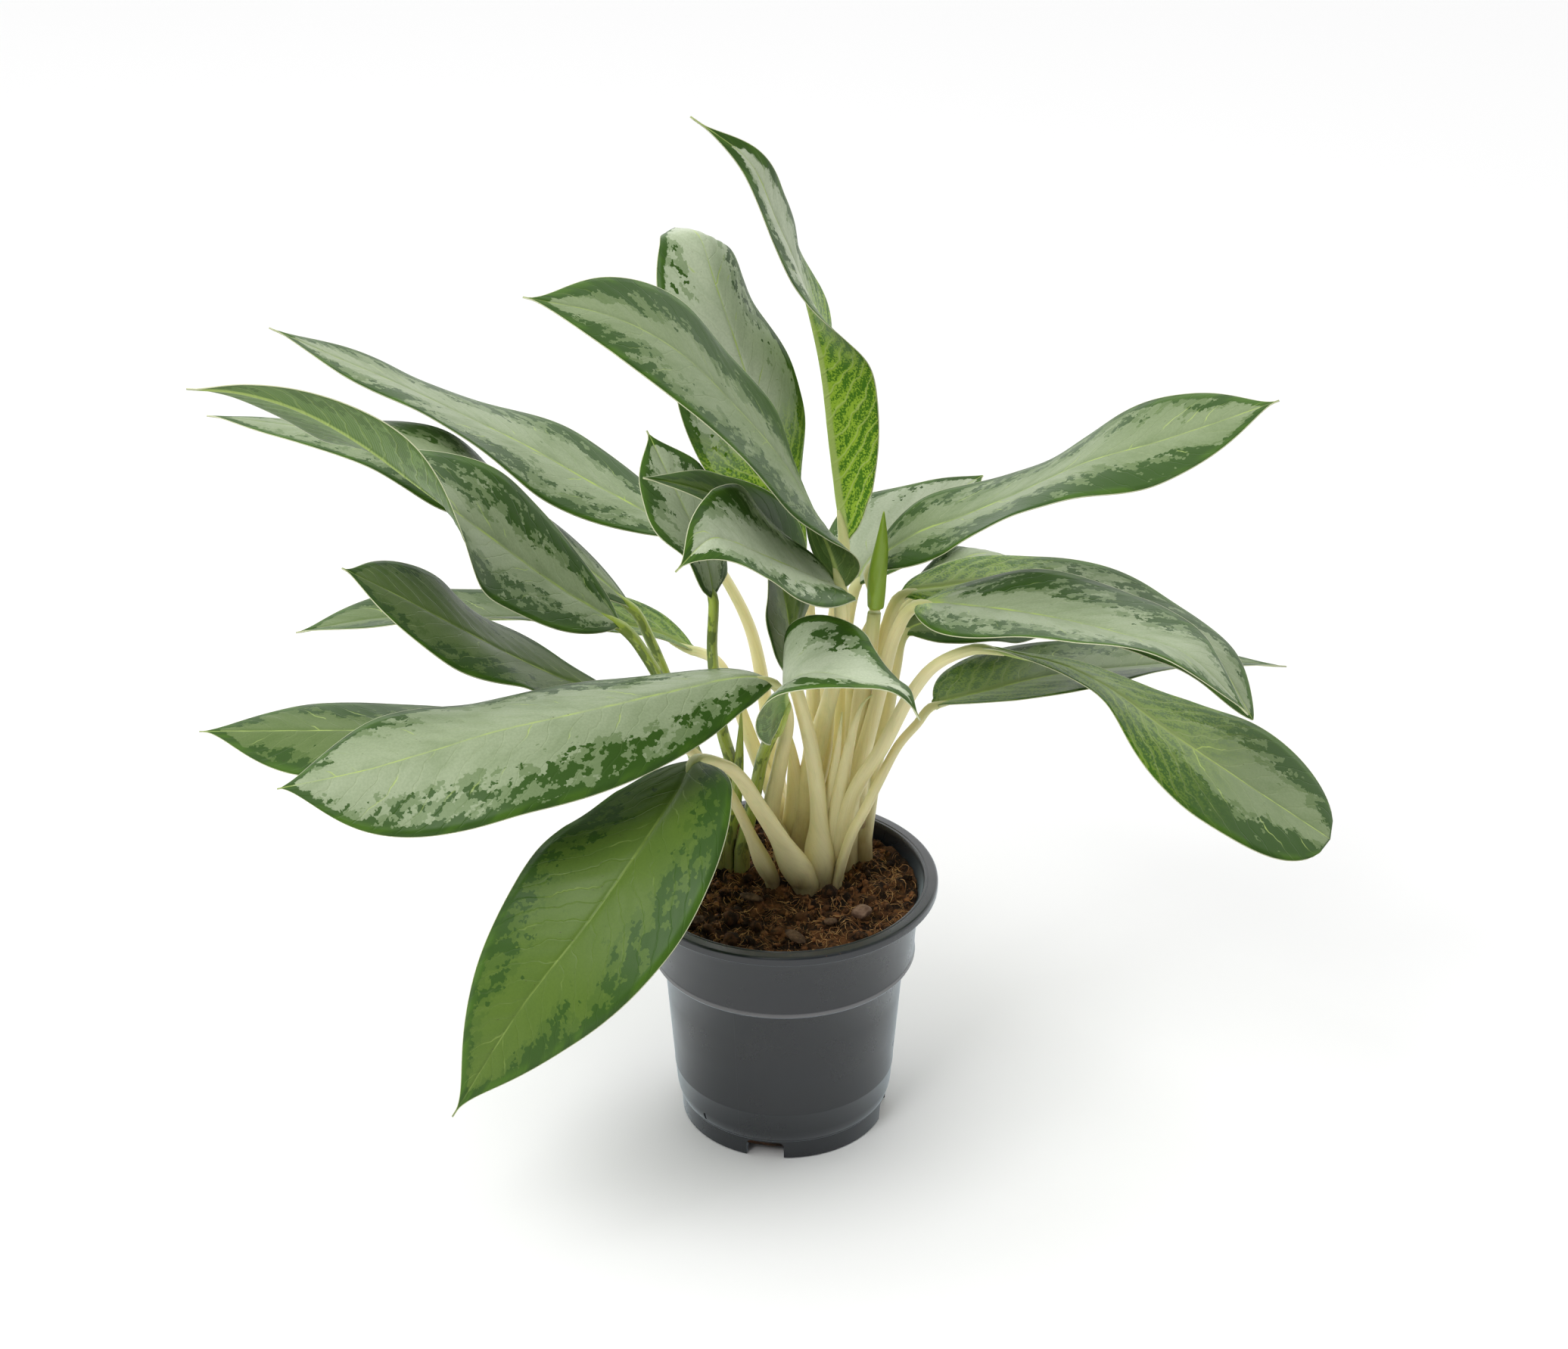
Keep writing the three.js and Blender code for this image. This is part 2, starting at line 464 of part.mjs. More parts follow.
// A blade's rings, joined so that the upper and lower faces are split alike.
function bladeSkin(rings) {
  const around = rings[0].length;
  const row = around / 2;
  const positions = rings.flat().flatMap((point) => [point.x, point.y, point.z]);
  const index = [];
  const quad = (a, b, c, d, flip) => {
    if (flip) index.push(a, b, d, b, c, d);
    else index.push(a, b, c, a, c, d);
  };
  for (let ring = 0; ring < rings.length - 1; ring += 1) {
    const near = ring * around;
    const far = near + around;
    for (let cell = 0; cell < row - 1; cell += 1) {
      quad(near + cell, near + cell + 1, far + cell + 1, far + cell, false);
      const under = around - 1 - cell;
      quad(near + under - 1, near + under, far + under, far + under - 1, true);
    }
    quad(near + row - 1, near + row, far + row, far + row - 1, false);
    quad(near + around - 1, near, far, far + around - 1, false);
  }
  const last = (rings.length - 1) * around;
  for (let cell = 0; cell < row - 1; cell += 1) {
    const under = around - 1 - cell;
    quad(cell, under, under - 1, cell + 1, false);
    quad(last + cell + 1, last + under - 1, last + under, last + cell, true);
  }
  const geometry = new THREE.BufferGeometry();
  geometry.setAttribute('position', new THREE.Float32BufferAttribute(positions, 3));
  geometry.setIndex(index);
  geometry.computeVertexNormals();
  return geometry;
}

// ---------------------------------------------------------------- stalks and shoots

// A tapering tube along points; radius(share) gives its half width, flat its depth share.
function taperedTube(points, along, startNormal, radius, sides, flat) {
  let normal = startNormal.clone();
  const rings = points.map((point, i) => {
    normal = square(normal, along[i]);
    const side = along[i].clone().cross(normal);
    const size = radius(i / (points.length - 1));
    const ring = [];
    for (let step = 0; step < sides; step += 1) {
      const angle = (2 * Math.PI * step) / sides;
      ring.push(point.clone()
        .addScaledVector(side, size * Math.cos(angle))
        .addScaledVector(normal, -size * flat * Math.sin(angle)));
    }
    return ring;
  });
  return closedSkin(rings);
}

function stalkSolid(leaf) {
  const path = leafPath(leaf);
  const base = path.length - leaf.rib.length;
  const points = evenPoints(path, 0, base, STALK.steps).reverse();
  const [blade] = bladeStations(leaf, BLADE.steps);
  const along = tangents(points);
  along[0] = blade.along.clone().negate();
  points[0].addScaledVector(along[0], STALK.gap);
  const [atBlade, atFoot] = leaf.thick ?? STALK.thick;
  const radius = (share) => THREE.MathUtils.lerp(atBlade, atFoot, share ** STALK.swelling);
  return toSolid(taperedTube(points, along, blade.normal, radius, STALK.sides, STALK.flatness));
}

function caneSolid(shoot) {
  const bulge = shoot.radius;
  const profile = [[0, CANE_FOOT], [bulge * 0.7, CANE_FOOT], [bulge * 0.95, 130], [bulge, 146],
    [bulge * 0.86, shoot.top - 7], [bulge * 0.5, shoot.top], [0, shoot.top + 1]];
  const geometry = new THREE.LatheGeometry(profile.map(([r, z]) => new THREE.Vector2(r, z)), 16);
  geometry.rotateX(Math.PI / 2);
  geometry.translate(shoot.at[0], shoot.at[1], 0);
  return toSolid(geometry);
}

function pointedTube(path, radius, tipRadius) {
  const points = evenPoints(path, 0, path.length - 1, 8);
  const size = (share) => tipRadius + (radius - tipRadius) * Math.sin(Math.PI * (0.35 + 0.65 * share));
  return taperedTube(points, tangents(points), new THREE.Vector3(0, -1, 0.1), size, 8, 0.75);
}

function shootGeometry(name) {
  let solid = caneSolid(SHOOTS[name]);
  LEAVES.filter((leaf) => leaf.shoot === name).forEach((leaf) => {
    solid = solid.add(stalkSolid(leaf));
  });
  SHEATHS.filter((sheath) => sheath.shoot === name).forEach((sheath) => {
    solid = solid.add(toSolid(pointedTube(sheath.path, sheath.radius, 0.5)));
  });
  if (ROLLED_LEAF.shoot === name) {
    const points = evenPoints(ROLLED_LEAF.stalk, 0, ROLLED_LEAF.stalk.length - 1, 8);
    const [atBlade, atFoot] = STALK.thick;
    const radius = (share) => THREE.MathUtils.lerp(atFoot, atBlade, share);
    const forward = new THREE.Vector3(0, -1, 0);
    solid = solid.add(toSolid(taperedTube(points, tangents(points), forward, radius, 8, 1)));
  }
  return toGeometry(solid);
}

// ---------------------------------------------------------------- pot

function potProfile() {
  const rimInside = POT.rimInnerRadius;
  const rimUnder = POT.height - POT.rimDrop;
  const inside = (radius) => radius - POT.wall;
  return [
    [0, POT.floorTop], [0, 0], [POT.padRadius, 0], [POT.padRadius + 2, POT.recessHeight],
    [POT.recessRadius, POT.recessHeight], [POT.recessRadius + 2, 0], [POT.footBottomRadius, 0],
    [POT.footRadius, POT.footTop - 1], [POT.bodyFootRadius, POT.footTop + 6],
    [POT.bodyTopRadius, POT.stepBottom], [POT.bandRadius, POT.stepTop],
    [POT.bandFlareRadius, POT.bandFlareHeight], [POT.neckRadius, rimUnder + 0.6],
    [POT.rimRadius - 0.6, rimUnder], [POT.rimRadius, rimUnder + 1], [POT.rimRadius, POT.height - 1.6],
    [POT.rimRadius - 1.4, POT.height], [rimInside, POT.height], [inside(POT.neckRadius), POT.height - 3],
    [inside(POT.bandFlareRadius), POT.bandFlareHeight], [inside(POT.bandRadius), POT.stepTop],
    [inside(POT.bodyTopRadius), POT.stepBottom], [inside(POT.bodyFootRadius), POT.footTop + 6],
    [inside(POT.footRadius) - 1, POT.floorTop], [0, POT.floorTop],
  ];
}

function lathe(profile, sides) {
  const geometry = new THREE.LatheGeometry(profile.map(([r, z]) => new THREE.Vector2(r, z)), sides);
  geometry.rotateX(Math.PI / 2);
  return geometry;
}

function notchSolid(azimuth) {
  const { width, height } = NOTCHES;
  const corner = 3;
  const outline = new THREE.Shape();
  outline.moveTo(-width / 2, -2);
  outline.lineTo(width / 2, -2);
  outline.lineTo(width / 2, height - corner);
  outline.quadraticCurveTo(width / 2, height, width / 2 - corner, height);
  outline.lineTo(-width / 2 + corner, height);
  outline.quadraticCurveTo(-width / 2, height, -width / 2, height - corner);
  outline.lineTo(-width / 2, -2);
  const block = new THREE.ExtrudeGeometry(outline, { depth: 16, bevelEnabled: false, curveSegments: 3 });
  block.rotateX(Math.PI / 2);
  block.translate(0, -POT.recessRadius + 5, 0);
  block.rotateZ(THREE.MathUtils.degToRad(azimuth));
  return toSolid(block);
}

function potGeometry() {
  let solid = toSolid(lathe(potProfile(), POT.sides));
  for (let i = 0; i < NOTCHES.count; i += 1) {
    solid = solid.subtract(notchSolid(NOTCHES.firstAzimuth + (360 / NOTCHES.count) * i));
  }
  for (let i = 0; i < DRAINS.count; i += 1) {
    const angle = (2 * Math.PI * (i + 0.5)) / DRAINS.count;
    const drain = new THREE.CylinderGeometry(DRAINS.radius, DRAINS.radius, 20, DRAINS.sides);
    drain.rotateX(Math.PI / 2);
    drain.translate(DRAINS.circle * Math.cos(angle), DRAINS.circle * Math.sin(angle), 0);
    solid = solid.subtract(toSolid(drain));
  }
  return toGeometry(solid);
}

// ---------------------------------------------------------------- soil and what lies on it

function soilHeight(x, y) {
  const lumps = Math.sin(x * 0.21 + 1.3) * Math.cos(y * 0.17 - 0.4)
    + 0.6 * Math.sin(x * 0.11 - y * 0.23 + 2.1) + 0.4 * Math.cos(x * 0.37 + y * 0.31);
  return SOIL.top + (SOIL.bump * lumps) / 2;
}

function soilSolid() {
  const gap = CLEARANCE;
  const levels = [
    [POT.footRadius - POT.wall - 1 - gap, POT.floorTop + gap],
    [POT.bodyFootRadius - POT.wall - gap, POT.footTop + 6],
    [POT.bodyTopRadius - POT.wall - gap, POT.stepBottom],
    [POT.bandRadius - POT.wall - gap, POT.stepTop + 0.2],
    [POT.bandFlareRadius - POT.wall - gap, POT.bandFlareHeight],
  ];
  const rim = [POT.neckRadius - POT.wall - 2.2, SOIL.top];
  const rings = [];
  const ring = (radius, height) => Array.from({ length: SOIL.sectors }, (_, i) => {
    const angle = (2 * Math.PI * i) / SOIL.sectors;
    const x = radius * Math.cos(angle);
    const y = radius * Math.sin(angle);
    return new THREE.Vector3(x, y, height ?? soilHeight(x, y));
  });
  levels.forEach(([radius, height]) => rings.push(ring(radius, height)));
  for (let i = SOIL.rings; i > 0; i -= 1) {
    rings.push(ring((rim[0] * i) / SOIL.rings));
  }
  return toSolid(closedSkin(rings));
}

function soilGeometry() {
  let solid = soilSolid();
  Object.values(SHOOTS).forEach((shoot) => {
    const hole = new THREE.CylinderGeometry(shoot.radius + CLEARANCE, shoot.radius + CLEARANCE, 80, 16);
    hole.rotateX(Math.PI / 2);
    hole.translate(shoot.at[0], shoot.at[1], CANE_FOOT - CLEARANCE + 40);
    solid = solid.subtract(toSolid(hole));
  });
  return toGeometry(solid);
}

function chipGeometry(chip, seed) {
  const random = seededRandom(seed);
  const geometry = mergeVertices(new THREE.IcosahedronGeometry(1, 1).deleteAttribute('normal')
    .deleteAttribute('uv'), 1e-4);
  const position = geometry.attributes.position;
  for (let i = 0; i < position.count; i += 1) {
    const swell = 0.86 + 0.14 * random();
    position.setXYZ(i, position.getX(i) * swell * chip.size[0], position.getY(i) * swell * chip.size[1],
      position.getZ(i) * swell * chip.size[2]);
  }
  geometry.rotateZ(THREE.MathUtils.degToRad(chip.turn));
  geometry.computeVertexNormals();
  return geometry;
}

function chipPiece(chip, seed) {
  const look = chip.name.startsWith('stone') ? COLOURS.stone : COLOURS.bark;
  const mesh = piece(chip.name, chipGeometry(chip, seed), look);
  const lift = chip.size[2] + SOIL.bump + 0.4;
  mesh.position.set(chip.at[0], chip.at[1], soilHeight(...chip.at) + lift);
  return mesh;
}

// ---------------------------------------------------------------- the whole plant

const plant = new THREE.Group();
plant.add(piece('pot', potGeometry(), COLOURS.pot));
plant.add(piece('soil', soilGeometry(), COLOURS.soil));
CHIPS.forEach((chip, i) => plant.add(chipPiece(chip, 11 + i)));
Object.entries(SHOOTS).forEach(([name, shoot]) => {
  plant.add(piece(`shoot_${name}`, shootGeometry(name), COLOURS[shoot.colour]));
});
LEAVES.forEach((leaf) => plant.add(piece(`blade_${leaf.name}`, bladeGeometry(leaf), COLOURS.blade)));
plant.add(piece('rolled_leaf', pointedTube(ROLLED_LEAF.path, ROLLED_LEAF.radius, 0.4), COLOURS.green));

export default plant;
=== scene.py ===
"""Dresses a packed potted Chinese evergreen (Aglaonema): fine silver-green blades, stalks,
coir soil and a moulded nursery pot, on a pale floor in soft light.

Metres, +Z up, origin at the centre of the pot's underside, -Y the front. The tables below
hold millimetres, because a leaf is easier to read that way; MM turns them into metres.
"""

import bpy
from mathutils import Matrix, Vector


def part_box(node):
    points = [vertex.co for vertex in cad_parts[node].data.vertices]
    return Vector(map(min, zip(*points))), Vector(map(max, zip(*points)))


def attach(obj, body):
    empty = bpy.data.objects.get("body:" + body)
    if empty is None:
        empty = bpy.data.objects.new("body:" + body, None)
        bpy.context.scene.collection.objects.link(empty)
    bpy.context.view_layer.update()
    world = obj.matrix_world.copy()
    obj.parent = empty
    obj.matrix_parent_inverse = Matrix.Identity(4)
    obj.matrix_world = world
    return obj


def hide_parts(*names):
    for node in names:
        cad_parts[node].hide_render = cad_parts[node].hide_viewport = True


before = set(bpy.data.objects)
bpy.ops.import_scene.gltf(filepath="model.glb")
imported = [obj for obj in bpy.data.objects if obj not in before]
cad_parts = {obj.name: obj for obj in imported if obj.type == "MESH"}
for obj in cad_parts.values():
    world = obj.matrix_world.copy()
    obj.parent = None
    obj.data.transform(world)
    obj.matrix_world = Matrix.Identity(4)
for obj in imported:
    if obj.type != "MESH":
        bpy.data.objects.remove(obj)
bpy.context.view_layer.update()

import math
from types import SimpleNamespace

import bmesh
import bpy
import numpy as np
from bpy.props import FloatProperty, FloatVectorProperty, IntProperty, PointerProperty
from bpy.types import Operator, Panel, PropertyGroup
from mathutils import Vector, noise

bl_info = {
    "name": "Potted Chinese Evergreen",
    "version": (1, 0, 0),
    "blender": (4, 5, 0),
    "location": "View3D > Sidebar > Evergreen",
    "description": "Builds the fine leaves, stalks, soil and pot of a potted Chinese evergreen",
    "category": "Add Mesh",
}

MM = 0.001
MM_PER_METRE = 1000.0
FRONT = (0.0, -1.0, 0.0)
POT_LOW, POT_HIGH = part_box("pot")

# Fixed colours of small marks.
LEAF_SPECK, SOIL_SPECK = (0.05, 0.045, 0.02), (0.06, 0.032, 0.018)
STALK_MOTTLE, GREEN_FOOT = (0.045, 0.095, 0.018), (0.42, 0.40, 0.17)
BARK_TONES, STONE_HOLLOWS = ((0.045, 0.024, 0.013), (0.17, 0.10, 0.055)), (0.12, 0.065, 0.040)

# ---------------------------------------------------------------- shape of the plant, in mm

CHIP_NODES = ("bark_left", "bark_front", "bark_small", "bark_far_left")

# A blade. TWIST_SPAN: where along it a twisted one changes its fold. RIB_SHARE: how far out its
# two halves blend into each other. ROW_STEP: mm between its rows of corners. FACE_BLUR: over how
# many 200ths of its length, each way, the directions of its face are smoothed.
TWIST_SPAN = (0.36, 0.58)
BASE_HALF_WIDTH, TIP_HALF_WIDTH = 3.4, 0.5
GROOVE_DEPTH, GROOVE_WIDTH = 0.9, 1.5
KEEL_WIDTH, TIP_KEEL = 2.3, 0.4
RIB_SHARE = 0.06
ROW_STEP, HALF_COLUMNS, FACE_BLUR = 2.7, 14, 15

# Side veins run forwards by VEIN_SWEEP for each mm outwards, and by up to VEIN_BEND mm more at
# the margin. The blade bulges between them, fully where it is wide enough.
VEIN_SWEEP, VEIN_BEND, VEIN_BEND_POWER = 0.85, 16.0, 1.8
MEAN_BULGE, FULL_RELIEF_WIDTH = 0.64, 22

# Patches step along cells. The grains are noise per mm along and across a blade, the limits say
# how much of it makes a dark patch from midrib to margin, and HALF_SHIFT makes the halves unlike.
CELLS_PER_MM = 0.75
PATCH_GRAIN, HALF_TONE_GRAIN = (0.125, 0.135), (0.105, 0.115)
PATCH_LIMITS = [
    (0.0, 0.95), (0.32, 0.76), (0.46, 0.61), (0.62, 0.54), (0.80, 0.51), (0.92, 0.42), (1.0, 0.10)]
HALF_SHIFT, VEIN_WOBBLE, MARGIN_STRIP = 37.0, 20.0, 9.0

# A stalk starts below the soil and ends a little way along the underside of its blade, at these
# shares of the blade's length and this far below its midrib.
TUBE_SIDES, STALK_RINGS = 22, 44
BURIED_DEPTHS = (22, 14, 7)
ENTRY_SHARES, ENTRY_DEPTHS = (0.0, 0.02, 0.04, 0.06), (0.6, 1.3, 1.8, 2.2)

# The pot's cut-outs, its mould line and the soil that fills it.
NOTCHES = dict(count=4, width=21, height=10.6, corner=3, first_azimuth=-10.6, reach=(46, 66))
DRAINS = dict(count=8, radius=4.5, circle=37, sides=32, heights=(-4, 12))
SLIT = dict(azimuth=-47.5, width=1.4, low=14, high=18.5, reach=(54, 66))
MOULD_LINE_AZIMUTH, MOULD_LINE_END = -24.0, (95, 100)
POT_SEGMENTS = 192
SOIL_BODY = [(55.0, 6.35), (58.6, 19.0), (65.05, 101.5), (70.65, 104.2), (71.65, 122.0), (73.2, 137.0)]
SOIL_RADIUS, SOIL_SECTORS, SOIL_RINGS = 74.0, 210, 84
FIBRE_TAPER = (0.5, 1, 1, 1, 1, 0.8, 0.3)

# A shoot is a short cane that stands in the soil; its leaves' stalks start 14 mm below its top.
FOOT_DROP, CANE_DROP, CANE_FOOT = 14, 6, 100
SHOOTS = {
    "front": dict(at=(15, 5), radius=11, top=160, tone="cream"),
    "front_left": dict(at=(-7, 6), radius=6, top=159, tone="cream"),
    "left": dict(at=(-32, 26), radius=9.5, top=168, tone="green"),
    "middle": dict(at=(3, 31), radius=9.5, top=172, tone="cream"),
    "right": dict(at=(37, 31), radius=10.5, top=170, tone="cream"),
    "back": dict(at=(5, 53), radius=9.5, top=172, tone="cream"),
}

# Leaves. stalk: points of the stalk after its foot. rib: points of the midrib from the blade's
# base to its tip. face: where the upper side looks, at even steps from base to tip. fold: how
# far each half rises from the flat at the midrib, and cup: how much more it turns by the
# margin, in degrees (right, left). shape: how fast the outline swells and narrows. point: the
# share of the length drawn out to a fine tip. thick: the stalk's half width at blade and foot.
# silver: how silvery the blade is; it is lower on older leaves and on leaves that lie in shade, so
# it partly paints their shade. glow: how far from its base light shining through the blade is
# painted on as bright green, and shine how strongly. tip_fold: the fold beyond a twist. patches:
# how much more of each half is dark (right, left). veins: how clearly the pale veins show. bulb: how
# far the stalk swells above its foot.
LEAVES = [
    dict(name="front_left_broad", shoot="middle", foot=(-3, -2), width=100, fold=(-14, -12), cup=(-16, -12),
         shape=(0.75, 0.62), point=0.09, silver=0.6, patches=(-0.07, 0.02),
         stalk=[(-7, 20, 177), (-2, 6, 217), (2, -8, 255)],
         rib=[(-6, -24, 283), (-22, -34, 292), (-46, -44, 292), (-78, -62, 293), (-111, -80, 294),
              (-144, -94, 293), (-174, -104, 288), (-211, -114, 281), (-254, -122, 275)],
         face=[(0.7, 0.15, 0.7), (0.1, -0.15, 1), (0.1, -0.15, 1), (-0.05, -0.25, 0.95),
               (-0.05, -0.5, 0.85), (-0.05, -0.5, 0.85)]),
    dict(name="front_hanging", shoot="front", foot=(-4, -5), width=96, fold=(6, 6), cup=(-12, -12),
         shape=(0.65, 1.1), point=0.1, thick=(4.2, 8.6), silver=0.0, patches=(0.0, 0.05), veins=0.3,
         bulb=3.0,
         stalk=[(-2, -11, 179), (-14, -20, 206), (-23, -28, 227), (-32, -36, 240)],
         rib=[(-47, -48, 249), (-57, -78, 245), (-76, -112, 230), (-102, -136, 201), (-134, -148, 161),
              (-172, -152, 96)],
         face=[(-0.15, 0.15, 1), (-0.3, -0.2, 0.95), (-0.25, -0.65, 0.75), (-0.35, -0.75, 0.5),
               (-0.35, -0.9, 0.25), (-0.35, -0.9, 0.25)]),
    dict(name="left_twisted", shoot="left", foot=(-4, -3), width=88, fold=(8, 8), cup=(-6, -6), point=0.06,
         silver=0.5, patches=(0.1, 0.04),
         stalk=[(-42, 22, 192), (-58, 20, 240), (-74, 15, 278)],
         rib=[(-88, 10, 300), (-118, 0, 327), (-151, -12, 361), (-183, -28, 397), (-211, -42, 428),
              (-238, -52, 450), (-265, -62, 464), (-291, -70, 470)],
         face=[(0.7, -0.2, 0.68), (0.74, -0.3, 0.6), (0.75, -0.3, 0.6), (0.7, 0.3, 0.6), (0.4, 0.7, 0.6),
               (0.1, 0.75, 0.65), (0.1, 0.7, 0.7)]),
    dict(name="left_rear", shoot="left", foot=(-3, 4), width=84, fold=(0, 0), cup=(-12, -12),
         shape=(0.75, 0.8), point=0.08, silver=0.45,
         stalk=[(-45, 36, 190), (-60, 46, 234), (-73, 52, 268)],
         rib=[(-84, 52, 290), (-113, 56, 317), (-141, 58, 342), (-173, 58, 368), (-212, 54, 387),
              (-258, 46, 399), (-303, 38, 409)],
         face=[(0.75, 0, 0.65), (0.65, 0, 0.75), (0.65, 0.1, 0.75), (0.5, -0.05, 0.85), (0.25, 0.1, 0.95),
               (0.2, 0.2, 0.95), (0.2, 0.2, 0.95)]),
    dict(name="upper_left_long", shoot="back", foot=(-4, 2), width=88, fold=(4, 4), cup=(-10, -10),
         shape=(0.65, 0.9), point=0.08, silver=0.5, patches=(0.04, 0.0), veins=1.3,
         stalk=[(-3, 62, 170), (-10, 74, 217), (-19, 86, 259), (-38, 96, 294)],
         rib=[(-54, 104, 307), (-78, 110, 320), (-108, 114, 336), (-142, 117, 356), (-178, 118, 375),
              (-214, 116, 395), (-246, 112, 412), (-278, 106, 431)],
         face=[(0.5, -0.1, 0.85), (0.45, -0.1, 0.9), (0.5, -0.1, 0.85), (0.45, 0.1, 0.9), (0.45, 0.2, 0.85),
               (0.45, 0.1, 0.9), (0.5, 0.1, 0.85)]),
    dict(name="upper_front_broad", shoot="middle", foot=(4, -3), width=88, fold=(6, 6), cup=(-10, -10),
         shape=(0.75, 0.75), point=0.1, silver=0.33, patches=(0.15, 0.05), veins=0.6,
         stalk=[(16, 20, 215), (26, 8, 262), (31, -2, 300)],
         rib=[(30, -8, 330), (25, -14, 356), (15, -20, 381), (-2, -32, 416), (-23, -44, 448),
              (-50, -58, 483), (-82, -70, 507), (-124, -84, 523)],
         face=[(0.3, 0.9, 0.2), (0.89, 0.3, 0.34), (0.86, -0.06, 0.51), (0.82, -0.07, 0.56),
               (0.71, -0.2, 0.67), (0.47, -0.27, 0.84), (0.35, -0.3, 0.85)]),
    dict(name="upper_rear_curled", shoot="back", foot=(2, -4), width=84, fold=(-8, -8), cup=(-18, -18),
         shape=(0.7, 0.66), silver=1.0, glow=0.45, patches=(-0.1, -0.08), veins=1.5,
         stalk=[(15, 44, 200), (16, 42, 249), (14, 42, 286)],
         rib=[(11, 42, 320), (4, 44, 344), (-4, 48, 373), (-14, 54, 404), (-25, 62, 439), (-36, 72, 469),
              (-45, 86, 491), (-58, 106, 488)],
         face=[(0.8, -0.55, 0.2), (0.8, -0.55, 0.3), (0.6, -0.75, 0.35), (0.65, -0.7, 0.35),
               (0.75, -0.5, 0.45), (0.6, -0.55, 0.55), (0.05, 0.25, 0.95)]),
    dict(name="top_twisted", shoot="back", foot=(5, -1), width=68, fold=(55, 6), cup=(0, 0),
         shape=(0.64, 1.3), point=0.06, tip_fold=(6, 6), silver=1.0, glow=0.62,
         stalk=[(21, 50, 196), (25, 54, 252), (29, 60, 291)],
         rib=[(33, 74, 319), (30, 86, 340), (26, 95, 368), (21, 95, 410), (14, 88, 448), (6, 78, 478),
              (-4, 66, 507), (-18, 54, 543), (-47, 46, 569)],
         face=[(0.55, 0.83, -0.1), (0.6, 0.8, -0.05), (0.62, 0.78, 0.05), (0.68, 0.73, 0.1),
               (0.95, 0.3, 0.15), (1, -0.12, 0.22), (0.93, -0.37, 0.25), (0.7, -0.7, 0.2),
               (0.7, -0.7, 0.2)]),
    dict(name="upper_right_arching", shoot="right", foot=(-2, 2), width=86, fold=(6, 6), cup=(-12, -12),
         shape=(0.7, 0.8), point=0.08, silver=0.36, patches=(0.03, 0.0),
         stalk=[(38, 34, 210), (43, 30, 264), (49, 28, 302)],
         rib=[(46, 27, 325), (68, 22, 347), (94, 16, 361), (122, 8, 378), (156, -2, 400), (191, -10, 415),
              (224, -18, 431), (249, -24, 444)],
         face=[(-0.85, -0.1, 0.5), (-0.55, -0.15, 0.8), (-0.5, 0.1, 0.85), (-0.5, 0.2, 0.85),
               (-0.45, 0.1, 0.9), (-0.45, -0.2, 0.9), (-0.5, -0.3, 0.8), (-0.5, -0.3, 0.8)]),
    dict(name="rear_right_pale", shoot="back", foot=(5, 4), width=78, fold=(8, 8), cup=(-8, -8), silver=1.0,
         patches=(-0.1, -0.1),
         stalk=[(29, 58, 192), (32, 66, 236), (35, 74, 267)],
         rib=[(40, 86, 286), (49, 102, 296), (64, 122, 302), (84, 144, 307), (114, 166, 316)],
         face=[(-0.2, 0, 0.97), (0, 0, 1), (0, 0, 1)]),
    dict(name="right_front_broad", shoot="right", foot=(-2, -7), width=90, fold=(10, 10), cup=(-10, -10),
         shape=(0.7, 0.8), point=0.08, thick=(4.2, 7.8), silver=0.55, glow=0.1, shine=0.6,
         patches=(0.0, 0.05),
         stalk=[(37, 19, 190), (44, 13, 224), (52, 9, 262), (59, 2, 298)],
         rib=[(71, -8, 321), (101, -36, 334), (136, -64, 342), (168, -92, 347), (199, -116, 347),
              (228, -134, 324)],
         face=[(-0.45, 0.25, 0.85), (-0.25, 0.05, 0.95), (-0.1, 0.1, 1), (0.05, 0.15, 1), (0.4, 0.1, 0.9),
               (0.6, -0.05, 0.8)]),
    dict(name="right_hanging", shoot="front", foot=(13, 5), width=88, fold=(6, 6), cup=(-12, -12),
         shape=(1.35, 0.5), thick=(4.0, 6.4), silver=0.32, glow=0.8, shine=0.5, patches=(0.08, 0.06),
         veins=1.8,
         stalk=[(37, -1, 200), (53, -12, 238), (67, -22, 275), (81, -30, 298)],
         rib=[(103, -38, 311), (123, -46, 311), (146, -54, 308), (170, -64, 299), (195, -76, 284),
              (233, -92, 263), (279, -106, 236)],
         face=[(-0.1, 0.35, 0.95), (0.2, 0.2, 0.95), (0.45, 0.1, 0.9), (0.45, -0.2, 0.9), (0.35, -0.3, 0.9),
               (0.4, -0.3, 0.85), (0.4, -0.3, 0.85)]),
    dict(name="lower_right", shoot="front", foot=(14, -4), width=78, fold=(12, 12), cup=(-6, -6),
         point=0.08, thick=(2.8, 4.2), silver=0.22, glow=0.4, shine=0.4, veins=1.4,
         stalk=[(36, -6, 177), (44, -9, 197), (52, -9, 216), (61, -9, 236), (71, -8, 249)],
         rib=[(81, -4, 259), (108, 18, 255), (147, 44, 251), (196, 70, 243), (241, 92, 234),
              (287, 110, 222)],
         face=[(-0.05, 0, 1), (0.05, 0.1, 1), (0.05, 0.25, 0.95), (0.1, 0.25, 0.95), (0.15, 0.3, 0.95)]),
    dict(name="right_rear_broad", shoot="right", foot=(4, 1), width=70, fold=(-4, -4), cup=(-8, -8),
         shape=(0.7, 0.75), silver=0.5, glow=0.45, shine=0.6, veins=1.5,
         stalk=[(44, 32, 206), (48, 31, 248), (54, 30, 282)],
         rib=[(63, 32, 306), (85, 38, 309), (112, 44, 309), (141, 46, 305), (166, 44, 300), (190, 36, 295),
              (213, 24, 288), (233, 6, 278), (250, -14, 255)],
